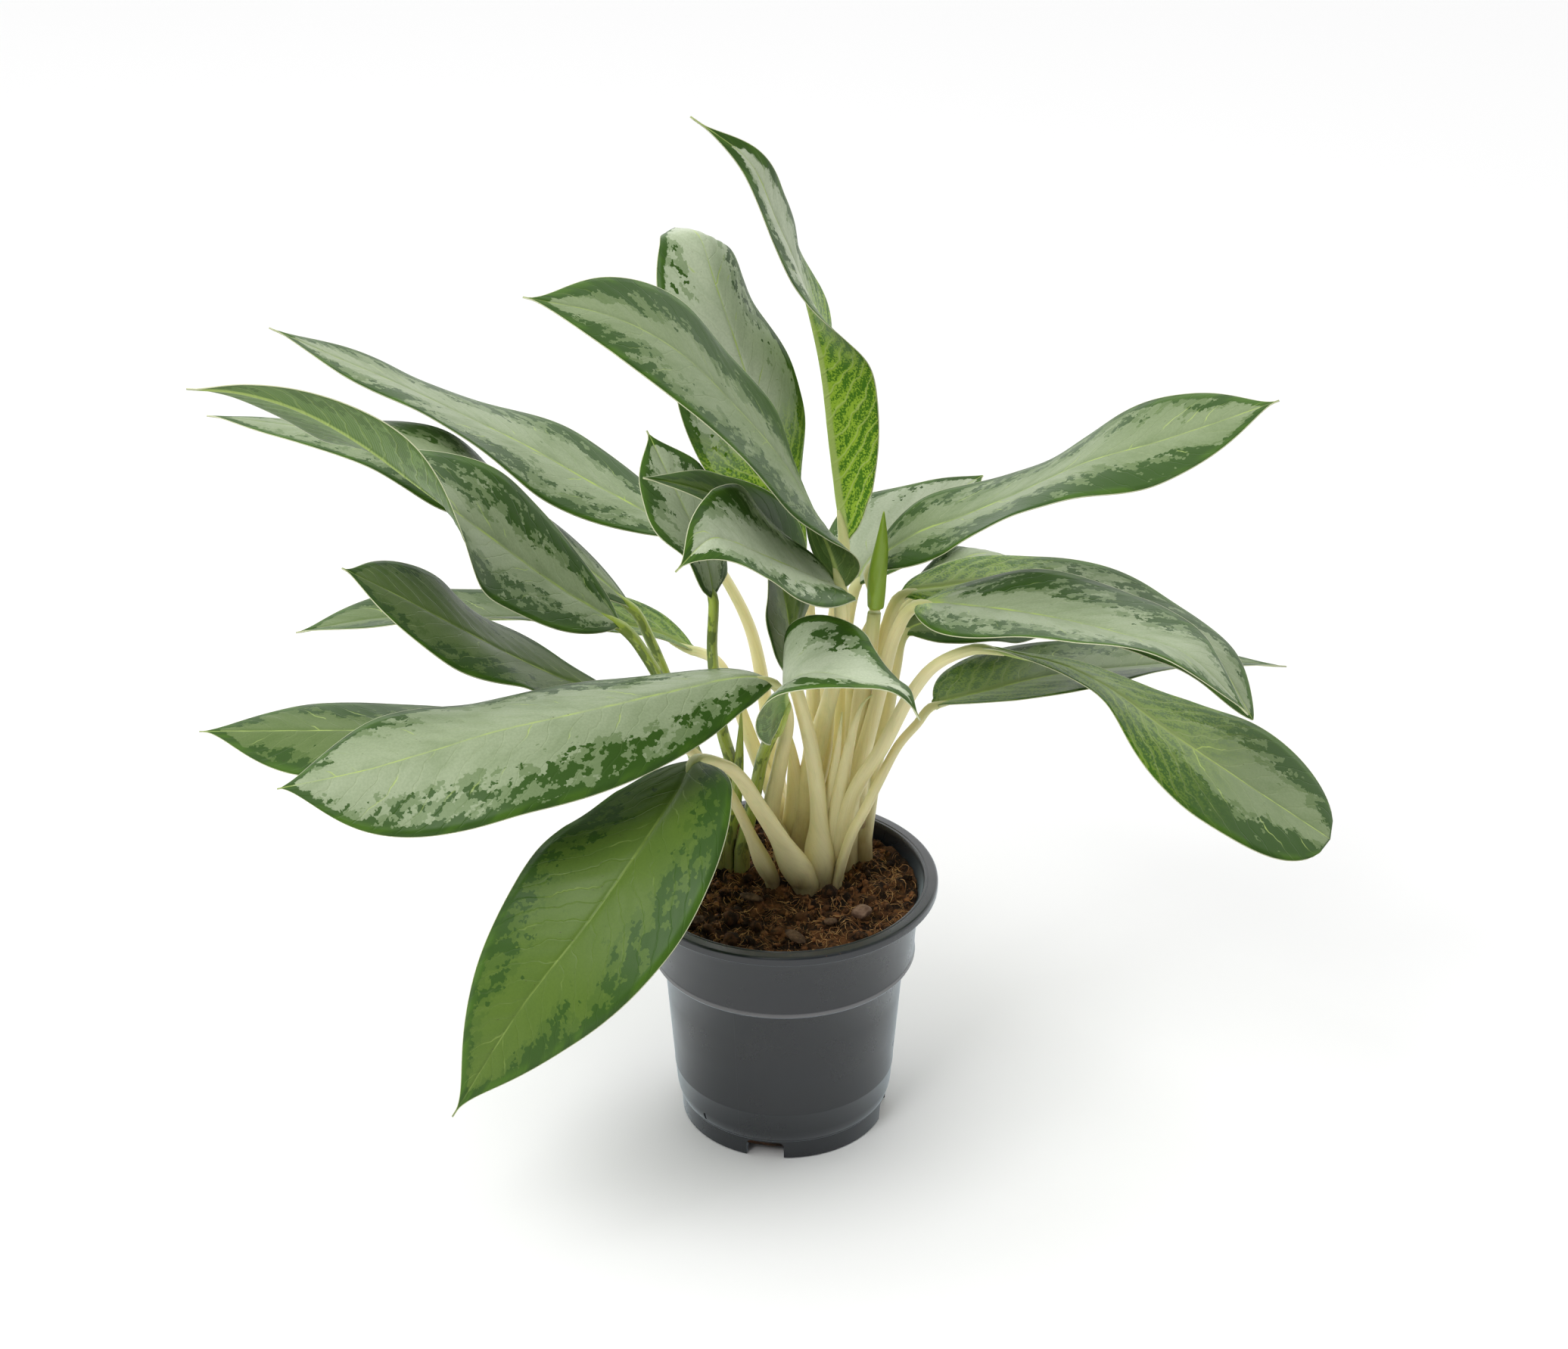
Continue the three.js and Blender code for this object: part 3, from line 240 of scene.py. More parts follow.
         face=[(-0.4, -0.35, 0.85), (0.05, -0.25, 0.95), (0.15, -0.15, 0.95), (0.15, -0.2, 0.95),
               (0.25, -0.1, 0.95), (0.4, -0.3, 0.85), (0.55, -0.4, 0.75)]),
    dict(name="rear_right_arching", shoot="right", foot=(3, 5), width=38, fold=(6, -10), cup=(-12, -12),
         silver=0.6,
         stalk=[(43, 46, 206), (49, 53, 246), (57, 58, 276)],
         rib=[(70, 70, 286), (88, 84, 295), (107, 98, 299), (127, 114, 289), (151, 130, 267),
              (170, 146, 240)],
         face=[(0, -0.2, 0.98), (0, -0.1, 0.98), (0.3, 0, 0.9)]),
    dict(name="right_under", shoot="right", foot=(6, -2), width=52, fold=(6, 6), cup=(-10, -10), silver=0.2,
         stalk=[(50, 36, 200), (57, 44, 230), (61, 51, 252)],
         rib=[(66, 60, 269), (83, 66, 274), (105, 76, 271), (127, 86, 262), (149, 96, 250)],
         face=[(0, -0.2, 0.98), (0, -0.2, 0.98)]),
    dict(name="centre_rolled", shoot="left", foot=(8, -5), width=76, fold=(24, 8), cup=(-40, -4),
         shape=(0.66, 1.15), point=0.08, thick=(3.8, 6.6), silver=1.0, patches=(-0.02, -0.02),
         stalk=[(-17, 15, 190), (-12, 6, 220), (-6, -16, 248), (-3, -36, 262)],
         rib=[(0, -50, 281), (0, -62, 298), (6, -80, 316), (21, -102, 330), (43, -118, 332),
              (58, -128, 333), (67, -136, 322)],
         face=[(-1, 0.1, 0.15), (-1, 0, 0.2), (-0.65, 0.15, 0.75), (-0.1, 0.1, 1), (0.05, 0.35, 0.95),
               (0.75, -0.15, 0.65)]),
    dict(name="centre_front_folded", shoot="middle", foot=(4, 3), width=80, fold=(10, 20), cup=(-6, -6),
         shape=(0.75, 1.0), point=0.12, silver=0.9, patches=(-0.05, 0.05),
         stalk=[(16, 24, 205), (24, 12, 250), (29, -4, 288)],
         rib=[(28, -28, 338), (16, -44, 354), (2, -62, 370), (-13, -84, 388), (-26, -104, 404),
              (-37, -120, 412), (-52, -134, 402)],
         face=[(0.85, 0.35, 0.45), (0.7, 0.15, 0.75), (0.75, 0.05, 0.65), (0.8, -0.05, 0.55),
               (0.75, -0.15, 0.65), (0.25, -0.75, 0.6)]),
    dict(name="centre_arching", shoot="front", foot=(6, 3), width=72, fold=(8, 8), cup=(-6, -6),
         shape=(0.5, 1.1), thick=(4.6, 9.6), silver=0.0, veins=0.5, patches=(0.2, 0.2), bulb=4.0,
         stalk=[(20, 3, 182), (18, -1, 208), (14, -2, 236), (9, -2, 258)],
         rib=[(4, -4, 280), (3, -8, 305), (0, -10, 328), (-5, -14, 352), (-15, -20, 372), (-29, -30, 390),
              (-46, -42, 404), (-70, -56, 416)],
         face=[(1, 0, 0.1), (0.95, -0.35, 0.05), (0.95, -0.3, 0.1), (0.9, -0.15, 0.45), (0.75, 0.05, 0.7),
               (0.5, 0.05, 0.85), (0.45, 0, 0.9)]),
    dict(name="centre_left_upright", shoot="left", foot=(1, -4), width=62, fold=(6, 6), cup=(-10, -10),
         point=0.1, thick=(3.4, 5.6), silver=0.75,
         stalk=[(-28, 17, 203), (-34, 8, 240), (-38, -3, 288)],
         rib=[(-37, -8, 326), (-42, 2, 347), (-52, 12, 367), (-62, 22, 385), (-72, 34, 402)],
         face=[(0.9, -0.4, 0.1), (0.85, -0.2, 0.45), (0.7, -0.4, 0.6), (0.5, -0.6, 0.65),
               (0.45, -0.55, 0.7)]),
    dict(name="lower_left", shoot="left", foot=(-5, -1), width=80, fold=(4, 4), cup=(-10, -10),
         shape=(0.8, 0.7), point=0.1, silver=0.1, patches=(-0.03, -0.05),
         stalk=[(-44, 22, 203), (-58, 20, 227), (-72, 18, 244)],
         rib=[(-91, 16, 254), (-118, 10, 267), (-144, 2, 285), (-170, -9, 307), (-199, -20, 331),
              (-227, -32, 354)],
         face=[(0.45, 0.05, 0.9), (0.5, 0.05, 0.85), (0.6, 0.15, 0.8), (0.65, 0, 0.75), (0.65, -0.05, 0.75),
               (0.65, -0.05, 0.75)]),
    dict(name="left_flat", shoot="back", foot=(-5, -2), width=78, fold=(14, 14), cup=(-6, -6),
         shape=(0.7, 0.8), point=0.08, silver=0.2, glow=0.35, shine=0.5, veins=1.4,
         stalk=[(-15, 60, 191), (-30, 72, 230), (-39, 80, 242)],
         rib=[(-51, 88, 244), (-75, 92, 254), (-117, 96, 260), (-169, 98, 259), (-224, 96, 260),
              (-274, 90, 254)],
         face=[(0.4, 0.1, 0.9), (0.15, 0.1, 1), (0, 0.25, 0.95), (0.05, 0.25, 0.95), (-0.1, 0.1, 1),
               (-0.15, 0.1, 1)]),
    dict(name="far_left_low", shoot="front_left", foot=(1, -2), width=84, fold=(-6, -6), cup=(-10, -10),
         shape=(0.75, 0.8), point=0.1, thick=(3.4, 5.0), silver=0.12, patches=(0.05, 0.02), bulb=2.5,
         stalk=[(-12, -2, 161), (-20, -6, 184), (-30, -9, 208), (-42, -11, 227)],
         rib=[(-68, -12, 244), (-129, -2, 243), (-187, 8, 237), (-248, 16, 232), (-320, 24, 227)],
         face=[(0.15, 0.05, 1), (-0.05, 0.05, 1), (-0.1, 0.1, 1), (-0.1, 0, 1), (-0.1, -0.25, 0.95),
               (-0.1, -0.25, 0.95)]),
]
# Pointed ends of the sheaths that wrap the stalks, and the newest leaf, still rolled up.
SHEATHS = [
    dict(shoot="front", radius=3.4, path=[(21, 7, 152), (26, 3, 202), (29, -5, 232), (31, -9, 257)]),
    dict(shoot="front", radius=4.4,
         path=[(24, 6, 152), (30, 1, 199), (35, -5, 233), (41, -9, 260), (47, -10, 268)]),
    dict(shoot="right", radius=4.2, path=[(37, 36, 158), (38, 40, 205), (38, 36, 262), (50, 27, 305)]),
    dict(shoot="left", radius=3.6, path=[(-30, 21, 160), (-26, 14, 196), (-24, 10, 226), (-23, 7, 250)]),
    dict(shoot="middle", radius=5.2, path=[(3, 27, 160), (6, 24, 187), (5, 21, 212), (2, 22, 232)]),
]
ROLLED_LEAF = dict(
    shoot="right", radius=5.6,
    stalk=[(38, 28, 166), (40, 22, 200), (42, 16, 249), (46, 10, 286), (48, 8, 308)],
    path=[(48.4, 7.8, 312), (49, 6, 331), (51, 4, 350), (52, 2, 370)],
)


# ---------------------------------------------------------------- settings


def length(name, description, default, **limits):
    """A distance in metres that the sidebar shows."""
    return FloatProperty(name=name, description=description, default=default, subtype="DISTANCE",
                         unit="LENGTH", precision=4, min=0.0, **limits)


def share(name, description, default):
    """A number from 0 to 1."""
    return FloatProperty(name=name, description=description, default=default, min=0.0, max=1.0,
                         subtype="FACTOR")


def paint(name, description, default):
    """A linear RGB colour."""
    return FloatVectorProperty(name=name, description=description, default=default, size=3,
                               min=0.0, max=1.0, subtype="COLOR")


class EvergreenPot(PropertyGroup):
    rim_radius: length("Rim radius", "Outside of the rolled rim", POT_HIGH.x)
    height: length("Height", "From the floor to the flat top of the rim", POT_HIGH.z)
    wall: length("Wall", "Thickness of the moulded wall", 1.6 * MM)
    ledge_height: length("Ledge height", "Lower edge of the wide upper band", 104 * MM)
    colour: paint("Plastic", "Dark blue-grey plastic", (0.0045, 0.0066, 0.0100))
    # The ledge's pale line is a painted highlight: light caught on the ledge, laid into its colour.
    ledge_highlight: paint("Ledge", "Pale stretched plastic on the ledge", (0.20, 0.20, 0.205))
    roughness: share("Roughness", "Of the moulded plastic", 0.30)


class EvergreenSoil(PropertyGroup):
    level: length("Level", "Mean height of the soil", 141.5 * MM)
    dark: paint("Peat", "Damp peat between the fibres", (0.016, 0.0075, 0.0035))
    warm: paint("Coir", "Warm brown coir", (0.30, 0.125, 0.042))
    straw: paint("Straw", "Pale loose fibres", (0.76, 0.45, 0.19))
    stone: paint("Stone", "Pale stone", (0.30, 0.19, 0.13))
    crumbs: IntProperty(name="Crumbs", description="Loose lumps of coir", default=900, min=0)
    fibres: IntProperty(name="Fibres", description="Loose coir fibres", default=1100, min=0)


class EvergreenLeaf(PropertyGroup):
    thickness: length("Thickness", "Of a blade beside its midrib", 0.8 * MM)
    margin_thickness: length("Margin thickness", "Of a blade at its margin", 0.4 * MM)
    keel: length("Keel", "How far the midrib stands out below, at the base", 2.4 * MM)
    vein_spacing: length("Vein spacing", "Between two side veins", 13 * MM)
    quilting: length("Quilting", "How far the blade bulges between side veins", 0.5 * MM)
    ripple: length("Ripple", "How far the margin waves", 1.4 * MM)
    silver: paint("Silver", "Pale centre of a blade", (0.48, 0.54, 0.385))
    middle: paint("Grey green", "Half-tone patches of the silver blades", (0.185, 0.258, 0.122))
    dark: paint("Dark green", "Blotches and margin", (0.036, 0.086, 0.012))
    fresh: paint("Margin green", "Brighter stretches of the margin", (0.070, 0.155, 0.014))
    plain: paint("Plain green", "Centre of the greener blades", (0.096, 0.160, 0.025))
    dull: paint("Dull green", "Half-tone patches of the greener blades", (0.070, 0.130, 0.020))
    rib: paint("Midrib", "Midrib and strongest veins", (0.42, 0.54, 0.15))
    edge: paint("Edge", "Thin pale outline", (0.62, 0.64, 0.42))
    under: paint("Underside", "Underside of a blade", (0.075, 0.135, 0.034))
    # The next two colours are painted light: the bright green of light shining through a thin blade and the
    # darker green between its veins.
    backlit: paint("Young green", "Where light shines through a young blade", (0.30, 0.47, 0.040))
    deep_backlit: paint("Deep young green", "Between the veins of a young blade", (0.065, 0.180, 0.010))


class EvergreenStalk(PropertyGroup):
    top_radius: length("Top radius", "Half width of a stalk at its blade", 3.6 * MM)
    foot_radius: length("Foot radius", "Half width of a stalk in its shoot", 7.6 * MM)
    cream: paint("Cream", "Ivory stalks", (0.82, 0.75, 0.40))
    tan: paint("Tan", "Foot of the ivory stalks", (0.36, 0.24, 0.11))
    green: paint("Green", "Green stalks of the left shoot", (0.34, 0.44, 0.060))
    fresh: paint("Fresh green", "Top of a stalk", (0.40, 0.48, 0.15))


class EvergreenStage(PropertyGroup):
    floor_size: length("Floor size", "Side of the square floor", 24.0)
    floor_colour: paint("Floor", "Pale matt floor", (0.93, 0.93, 0.93))
    sky: FloatProperty(name="Sky", description="Strength of the white surroundings", default=1.5, min=0.0)
    key: FloatProperty(name="Key light", description="Power of the large light", default=27.0, min=0.0,
                       unit="POWER")
    lens: FloatProperty(name="Lens", description="Focal length", default=74.87, min=10.0, unit="CAMERA")
    distance: length("Distance", "From the camera to the point it looks at", 1.741)
    target_height: length("Target height", "Height of the point the camera looks at", 0.275)
    elevation: FloatProperty(name="Elevation", description="Of the camera above the horizon",
                             default=math.radians(28), subtype="ANGLE", unit="ROTATION")

# ---------------------------------------------------------------- mesh tools


def shown(name, data):
    """A new object in the scene."""
    item = bpy.data.objects.new(name, data)
    bpy.context.scene.collection.objects.link(item)
    return item


def finish_piece(piece, node=None):
    """Lets a piece ride and stand for its CAD node."""
    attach(piece, "root")
    if node:
        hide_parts(node)
    return piece


def mesh_piece(name, corners, faces, materials, node=None, kinds=None, maps=None):
    """A smooth-shaded piece. kinds: the material of each face. maps: u and v of each corner."""
    mesh = bpy.data.meshes.new(name)
    mesh.from_pydata(np.asarray(corners, float).tolist(), [], [list(map(int, face)) for face in faces])
    mesh.shade_smooth()
    for material in materials:
        mesh.materials.append(material)
    if kinds is not None:
        mesh.polygons.foreach_set("material_index", np.asarray(kinds, np.int32))
    loops = np.empty(len(mesh.loops), np.int32)
    mesh.loops.foreach_get("vertex_index", loops)
    for layer, values in (maps or {}).items():
        flat = np.asarray(values, np.float32)[loops].ravel()
        mesh.uv_layers.new(name=layer).data.foreach_set("uv", flat)
    mesh.validate()
    mesh.update()
    return finish_piece(shown(name, mesh), node)


def ring_faces(rings, columns, first=0):
    """Faces between rings of corners that follow each other from corner first."""
    return [(near + i, near + (i + 1) % columns, near + columns + (i + 1) % columns, near + columns + i)
            for near in range(first, first + (rings - 1) * columns, columns) for i in range(columns)]


def tube_faces(rings, columns, first=0):
    """Faces of a tube, closed with two caps."""
    last = first + (rings - 1) * columns
    caps = [tuple(reversed(range(first, first + columns))), tuple(range(last, last + columns))]
    return ring_faces(rings, columns, first) + caps


def turned_faces(rings, columns):
    """Faces of a turned solid: its corners are one point, the rings and one more point."""
    last = 1 + (rings - 1) * columns
    faces = ring_faces(rings, columns, 1)
    for i in range(columns):
        after = (i + 1) % columns
        faces += [(0, 1 + after, 1 + i), (last + i, last + after, last + columns)]
    return faces


def smooth_step(value, low, high):
    """0 below low, 1 above high and a smooth rise between."""
    place = np.clip((np.asarray(value, float) - low) / (high - low), 0.0, 1.0)
    return place * place * (3 - 2 * place)


def unit(vectors):
    return vectors / np.linalg.norm(vectors, axis=-1, keepdims=True)


def run_along(points):
    """The length of a path up to each of its points."""
    return np.concatenate([[0], np.cumsum(np.linalg.norm(np.diff(points, axis=0), axis=1))])


def read_at(wanted, place, values):
    """Rows of values at the wanted places, each column on straight lines between its rows."""
    return np.stack([np.interp(wanted, place, column) for column in values.T], 1)


def curve_points(points, first, last, shares):
    """Points at shares of the length of a smooth curve, from control point first to last."""
    knots = np.asarray(points, float)
    ends = np.vstack([2 * knots[0] - knots[1], knots, 2 * knots[-1] - knots[-2]])
    place = np.linspace(first, last, (last - first) * 48 + 1)
    span = np.minimum(place.astype(int), len(knots) - 2)
    part = (place - span)[:, None]
    before, start, end, after = (ends[span + step] for step in range(4))
    leave, arrive = 0.5 * (end - before), 0.5 * (after - start)
    fine = (
        (2 * start - 2 * end + leave + arrive) * part**3
        + (-3 * start + 3 * end - 2 * leave - arrive) * part**2
        + leave * part + start
    )
    run = run_along(fine)
    return read_at(np.asarray(shares) * run[-1], run, fine), run[-1]


def directions(points):
    return unit(np.gradient(points, axis=0, edge_order=1))


def squared(vectors, along):
    """The vectors, turned at right angles to the directions along a path."""
    return unit(vectors - (vectors * along).sum(1, keepdims=True) * along)


def carried(start, along):
    """A direction carried along a path with no twist."""
    carried_on = [start]
    for direction in along:
        normal = carried_on[-1] - np.dot(carried_on[-1], direction) * direction
        carried_on.append(normal / np.linalg.norm(normal))
    return np.array(carried_on[1:])


# ---------------------------------------------------------------- finishes


class Value:
    """The output of a node. Arithmetic on it adds math nodes."""

    def __init__(self, nodes, socket):
        self.nodes, self.socket = nodes, socket

    def __add__(self, other):
        return self.nodes.math("ADD", self, other)

    def __sub__(self, other):
        return self.nodes.math("SUBTRACT", self, other)

    def __mul__(self, other):
        return self.nodes.math("MULTIPLY", self, other)

    def __truediv__(self, other):
        return self.nodes.math("DIVIDE", self, other)

    def __pow__(self, other):
        return self.nodes.math("POWER", self, other)

    def __abs__(self):
        return self.nodes.math("ABSOLUTE", self)

    def step(self, low, high, start=0.0, end=1.0):
        """Start below low, end above high and a smooth change between."""
        inputs = dict(enumerate((self, low, high, start, end)))
        return self.nodes.add("ShaderNodeMapRange", inputs, interpolation_type="SMOOTHSTEP")

    def noise(self, scale=1.0, detail=2.0, rough=0.5, warp=0.0):
        """Noise at a place."""
        inputs = {"Vector": self, "Scale": scale, "Detail": detail, "Roughness": rough, "Distortion": warp}
        return self.nodes.add("ShaderNodeTexNoise", inputs)

    def split(self):
        """The x, y and z of a vector."""
        node = self.nodes.add("ShaderNodeSeparateXYZ", {0: self}).socket.node
        return [Value(self.nodes, output) for output in node.outputs]


class Nodes:
    """Short calls for the nodes of a material or of the world."""

    def __init__(self, tree):
        self.tree = tree

    def link(self, socket, value):
        if isinstance(value, Value):
            self.tree.links.new(value.socket, socket)
        elif socket.type == "RGBA":
            socket.default_value = (*value, 1.0)
        else:
            socket.default_value = value

    def add(self, kind, inputs, output=0, **settings):
        """Adds a node, sets or links its inputs and gives back one of its outputs."""
        node = self.tree.nodes.new(kind)
        for key, value in settings.items():
            setattr(node, key, value)
        for key, value in inputs.items():
            self.link(node.inputs[key], value)
        return Value(self, node.outputs[output])

    def math(self, operation, *values):
        return self.add("ShaderNodeMath", dict(enumerate(values)), operation=operation)

    def mix(self, part, first, second):
        return self.add("ShaderNodeMix", {0: part, 6: first, 7: second}, 2, data_type="RGBA")

    def layered(self, base, *layers):
        """A base colour with others laid over it in turn, each given as (part, colour)."""
        for part, colour in layers:
            base = self.mix(part, base, colour)
        return base

    def vector(self, x, y, z=0.0):
        return self.add("ShaderNodeCombineXYZ", {0: x, 1: y, 2: z})

    def curve(self, value, points):
        """A value read off straight lines between (value, result) points."""
        result = self.add("ShaderNodeValToRGB", {0: value})
        stops = result.socket.node.color_ramp.elements
        while len(stops) < len(points):
            stops.new(0.5)
        for stop, (at, height) in zip(stops, points):
            stop.position = at
            stop.color = (height, height, height, 1.0)
        return result


class Finish(Nodes):
    """A new material and its surface."""

    def __init__(self, name, **sockets):
        self.material = bpy.data.materials.new(name)
        self.material.use_nodes = True
        super().__init__(self.material.node_tree)
        self.surface = self.tree.nodes["Principled BSDF"]
        for socket, value in sockets.items():
            self.link(self.surface.inputs[socket.replace("_", " ")], value)

    def map(self, name):
        """The u and v of one of the piece's maps."""
        return self.add("ShaderNodeUVMap", {}, uv_map=name).split()[:2]

    def place(self):
        return self.add("ShaderNodeTexCoord", {}, "Object")

    def done(self, colour, roughness, height=None, distance=0.0, strength=1.0):
        """Gives the surface its colour, roughness and relief: the finished material."""
        self.link(self.surface.inputs["Base Color"], colour)
        self.link(self.surface.inputs["Roughness"], roughness)
        if height:
            inputs = {"Height": height, "Distance": distance, "Strength": strength}
            self.link(self.surface.inputs["Normal"], self.add("ShaderNodeBump", inputs))
        return self.material


def leaf_pattern(finish, settings):
    """Values in mm and shares that both faces of a blade take from its maps: see blade_piece."""
    share_along, across = finish.map("leaf")
    along, out = (value * MM_PER_METRE for value in finish.map("metric"))
    silver, glow = finish.map("look")
    patches, veins = finish.map("patch")
    reach = abs(across * 2.0 - 1.0)
    away = abs(out)
    sweep = along - reach ** VEIN_BEND_POWER * VEIN_BEND - away * VEIN_SWEEP
    half = finish.math("GREATER_THAN", across, 0.5) * HALF_SHIFT
    flat = finish.vector(along, away, half)
    return SimpleNamespace(
        share=share_along, along=along, away=away, margin=finish.map("edge")[0] * MM_PER_METRE,
        silver=silver, glow=glow, patches=patches, veins=veins, reach=reach, sweep=sweep, half=half,
        flat=flat, spread=finish.vector(sweep, away, half), spacing=settings.vein_spacing / MM,
        freckles=flat.noise(0.75, 2.0))


def blotches(finish, leaf):
    """Dark and half-tone patches with stepped outlines, drawn out along the side veins."""
    fine = finish.vector(leaf.along * CELLS_PER_MM, leaf.away * CELLS_PER_MM, leaf.half)
    cell = finish.add("ShaderNodeTexVoronoi", {"Vector": fine, "Scale": 1.0}, "Position")
    shift = finish.add("ShaderNodeVectorMath", {0: cell, 1: fine}, operation="SUBTRACT")
    ahead, outward = (value / CELLS_PER_MM for value in shift.split()[:2])
    slanted = (leaf.along - leaf.sweep) * 0.5 + leaf.sweep
    sweep = slanted + ahead + outward * -0.75
    away = leaf.away + outward
    drift = leaf.spread.noise(0.024, 1.0)
    threshold = (drift - 0.5) * 0.60 + finish.curve(leaf.reach, PATCH_LIMITS) - leaf.patches
    coarse = finish.vector(sweep * PATCH_GRAIN[0], away * PATCH_GRAIN[1], leaf.half).noise(1.0, 3.0, 0.62)
    other = finish.vector(sweep * HALF_TONE_GRAIN[0], away * HALF_TONE_GRAIN[1], 41.0).noise(1.0, 3.0, 0.6)
    return (coarse - threshold).step(-0.004, 0.004), (other - threshold).step(-0.075, -0.065)


def vein_lines(finish, leaf, width):
    """1 on the side veins, which sweep from the midrib to the margin, and 0 between them."""
    curved = leaf.flat.noise(0.05, 3.0) * VEIN_WOBBLE + leaf.sweep
    phase = finish.math("FRACT", curved * (1.0 / leaf.spacing) + leaf.half)
    return abs(phase - 0.5).step(0.0, width / leaf.spacing, 1.0, 0.0)


def backlit_tones(finish, leaf, settings):
    """Light shining through: yellow veins that fade into freckled dark green between them."""
    blots = leaf.spread.noise(0.16, 3.0, 0.6)
    fill = vein_lines(finish, leaf, 5.5) * -0.14 + leaf.reach * 0.10 + leaf.freckles + blots * 0.9
    beside = leaf.share * 1.6 + leaf.away
    return finish.layered(
        settings.backlit, (fill.step(0.87, 1.04), settings.deep_backlit),
        (vein_lines(finish, leaf, 1.4) * 0.75, settings.rib),
        (beside.step(2.4, 3.9, 0.9, 0.0), settings.rib))


def blade_finish(settings):
    """Upper face: silver centre, stepped dark patches towards the margin, a fine midrib."""
    finish = Finish("blade_upper", Specular_IOR_Level=0.16)
    leaf = leaf_pattern(finish, settings)
    dark, half = blotches(finish, leaf)
    cloud = leaf.spread.noise(0.045, 4.0, 0.6)
    patchy = leaf.spread.noise(0.06, 2.0)
    ragged = leaf.spread.noise(0.11, 4.0, 0.65)
    specks = leaf.spread.noise(0.55, 1.0)
    pores = finish.vector(leaf.along, leaf.away).noise(2.2, 2.0)
    # The silver share is partly painted shade: it is set lower on leaves that lie in shade as well as on
    # older ones.
    centre = finish.mix(leaf.silver, settings.plain, settings.silver)
    half_tone = finish.mix(leaf.silver, settings.dull, settings.middle)
    strip = (ragged * -MARGIN_STRIP + leaf.margin).step(-0.3, 0.3, 1.0, 0.0)
    fresh = finish.mix(patchy.step(0.40, 0.60, 0.0, 0.7), settings.dark, settings.fresh)
    shade = finish.mix(leaf.margin.step(2.0, 7.0, 1.0, 0.0), settings.dark, fresh)
    lines = vein_lines(finish, leaf, 0.9)
    shown_veins = lines * patchy.step(0.58, 0.68, 0.03, 0.75)
    shown_veins = shown_veins * leaf.reach.step(0.45, 0.80, 1.0, 0.05) * leaf.veins
    beside = leaf.away / leaf.share.step(0.0, 1.0, 1.4, 0.45)
    rib = beside.step(0.35, 0.9, 1.0, 0.0) * patchy.step(0.40, 0.62, 0.22, 0.9)
    colour = finish.layered(
        centre,
        (cloud.step(0.40, 0.75, 0.0, 0.40), half_tone),
        (leaf.reach.step(0.1, 1.0, 0.0, 0.35), half_tone),
        (half * 0.75, half_tone),
        (finish.math("MAXIMUM", dark, strip), shade),
        (shown_veins, settings.rib),
        (leaf.freckles.step(0.35, 0.65, 0.10, 0.0), settings.dark),
        # Painted light: the green of light shining through the blade, laid on from its base.
        (leaf.glow, backlit_tones(finish, leaf, settings)),
        (rib * leaf.veins, settings.rib),
        (specks.step(0.775, 0.79, 0.0, 0.65), LEAF_SPECK),
        (leaf.margin.step(0.20, 0.42, 0.9, 0.0), settings.edge))
    roughness = cloud.step(0.3, 0.7, 0.32, 0.44)
    return finish.done(colour, roughness, lines * -0.6 + pores * 0.25, 0.35 * MM, 0.5)


def underside_finish(settings):
    """Underside: plain green with a pale midrib and fine parallel veins."""
    finish = Finish("blade_under", Specular_IOR_Level=0.20)
    leaf = leaf_pattern(finish, settings)
    dark, _ = blotches(finish, leaf)
    lines = vein_lines(finish, leaf, 1.6)
    fine = finish.math("SINE", leaf.sweep * 3.2)
    lighter = tuple(1.7 * value for value in settings.under)
    colour = finish.layered(
        settings.under,
        (leaf.silver, lighter),
        (dark * 0.6, settings.dark),
        (fine.step(-1.0, 1.0, 0.0, 0.08), settings.rib),
        (lines * 0.18, settings.rib),
        # Painted light: the green of light shining through the blade, laid on from its base.
        (leaf.glow, backlit_tones(finish, leaf, settings)),
        (leaf.away.step(0.9, 2.0, 0.75, 0.0), settings.rib),
        (leaf.margin.step(0.25, 0.6, 0.9, 0.0), settings.edge))
    return finish.done(colour, fine.step(-1.0, 1.0, 0.42, 0.50), fine * 0.15 + lines, 0.3 * MM, 0.7)


# ---------------------------------------------------------------- blades


def leaf_path(leaf):
    """Control points from the stalk's foot to the blade's tip, and the number of the base's."""
    shoot = SHOOTS[leaf["shoot"]]
    foot = [shoot["at"][0] + leaf["foot"][0], shoot["at"][1] + leaf["foot"][1], shoot["top"] - FOOT_DROP]
    return [foot, *leaf["stalk"], *leaf["rib"]], 1 + len(leaf["stalk"])


def rib_stations(leaf, shares):
    """Points of the midrib with the direction along it and the direction its face looks."""
    path, base = leaf_path(leaf)
    fine = np.linspace(0, 1, 201)
    points, run = curve_points(path, base, len(path) - 1, fine)
    along = directions(points)
    looks = np.asarray(leaf["face"], float)
    looks = read_at(fine, np.linspace(0, 1, len(looks)), looks)
    window = np.hanning(2 * FACE_BLUR + 1)
    padded = np.pad(looks, ((FACE_BLUR, FACE_BLUR), (0, 0)), mode="edge")
    looks = np.stack([np.convolve(axis, window / window.sum(), "valid") for axis in padded.T], 1)
    normals = squared(looks, along)
    points, along, normals = (read_at(shares, fine, values) for values in (points, along, normals))
    return points, unit(along), squared(normals, unit(along)), run


def half_widths(leaf, shares):
    """Half the blade's width at shares of its length, in mm."""
    rise, fall = leaf.get("shape", (0.7, 1.05))
    peak = rise / (rise + fall)
    outline = shares**rise * (1 - shares) ** fall / (peak**rise * (1 - peak) ** fall)
    if "point" in leaf:
        outline = outline * np.tanh((1 - shares) / leaf["point"]) / math.tanh((1 - peak) / leaf["point"])
    least = BASE_HALF_WIDTH + (TIP_HALF_WIDTH - BASE_HALF_WIDTH) * shares
    return np.maximum(leaf["width"] / 2 * outline, least)


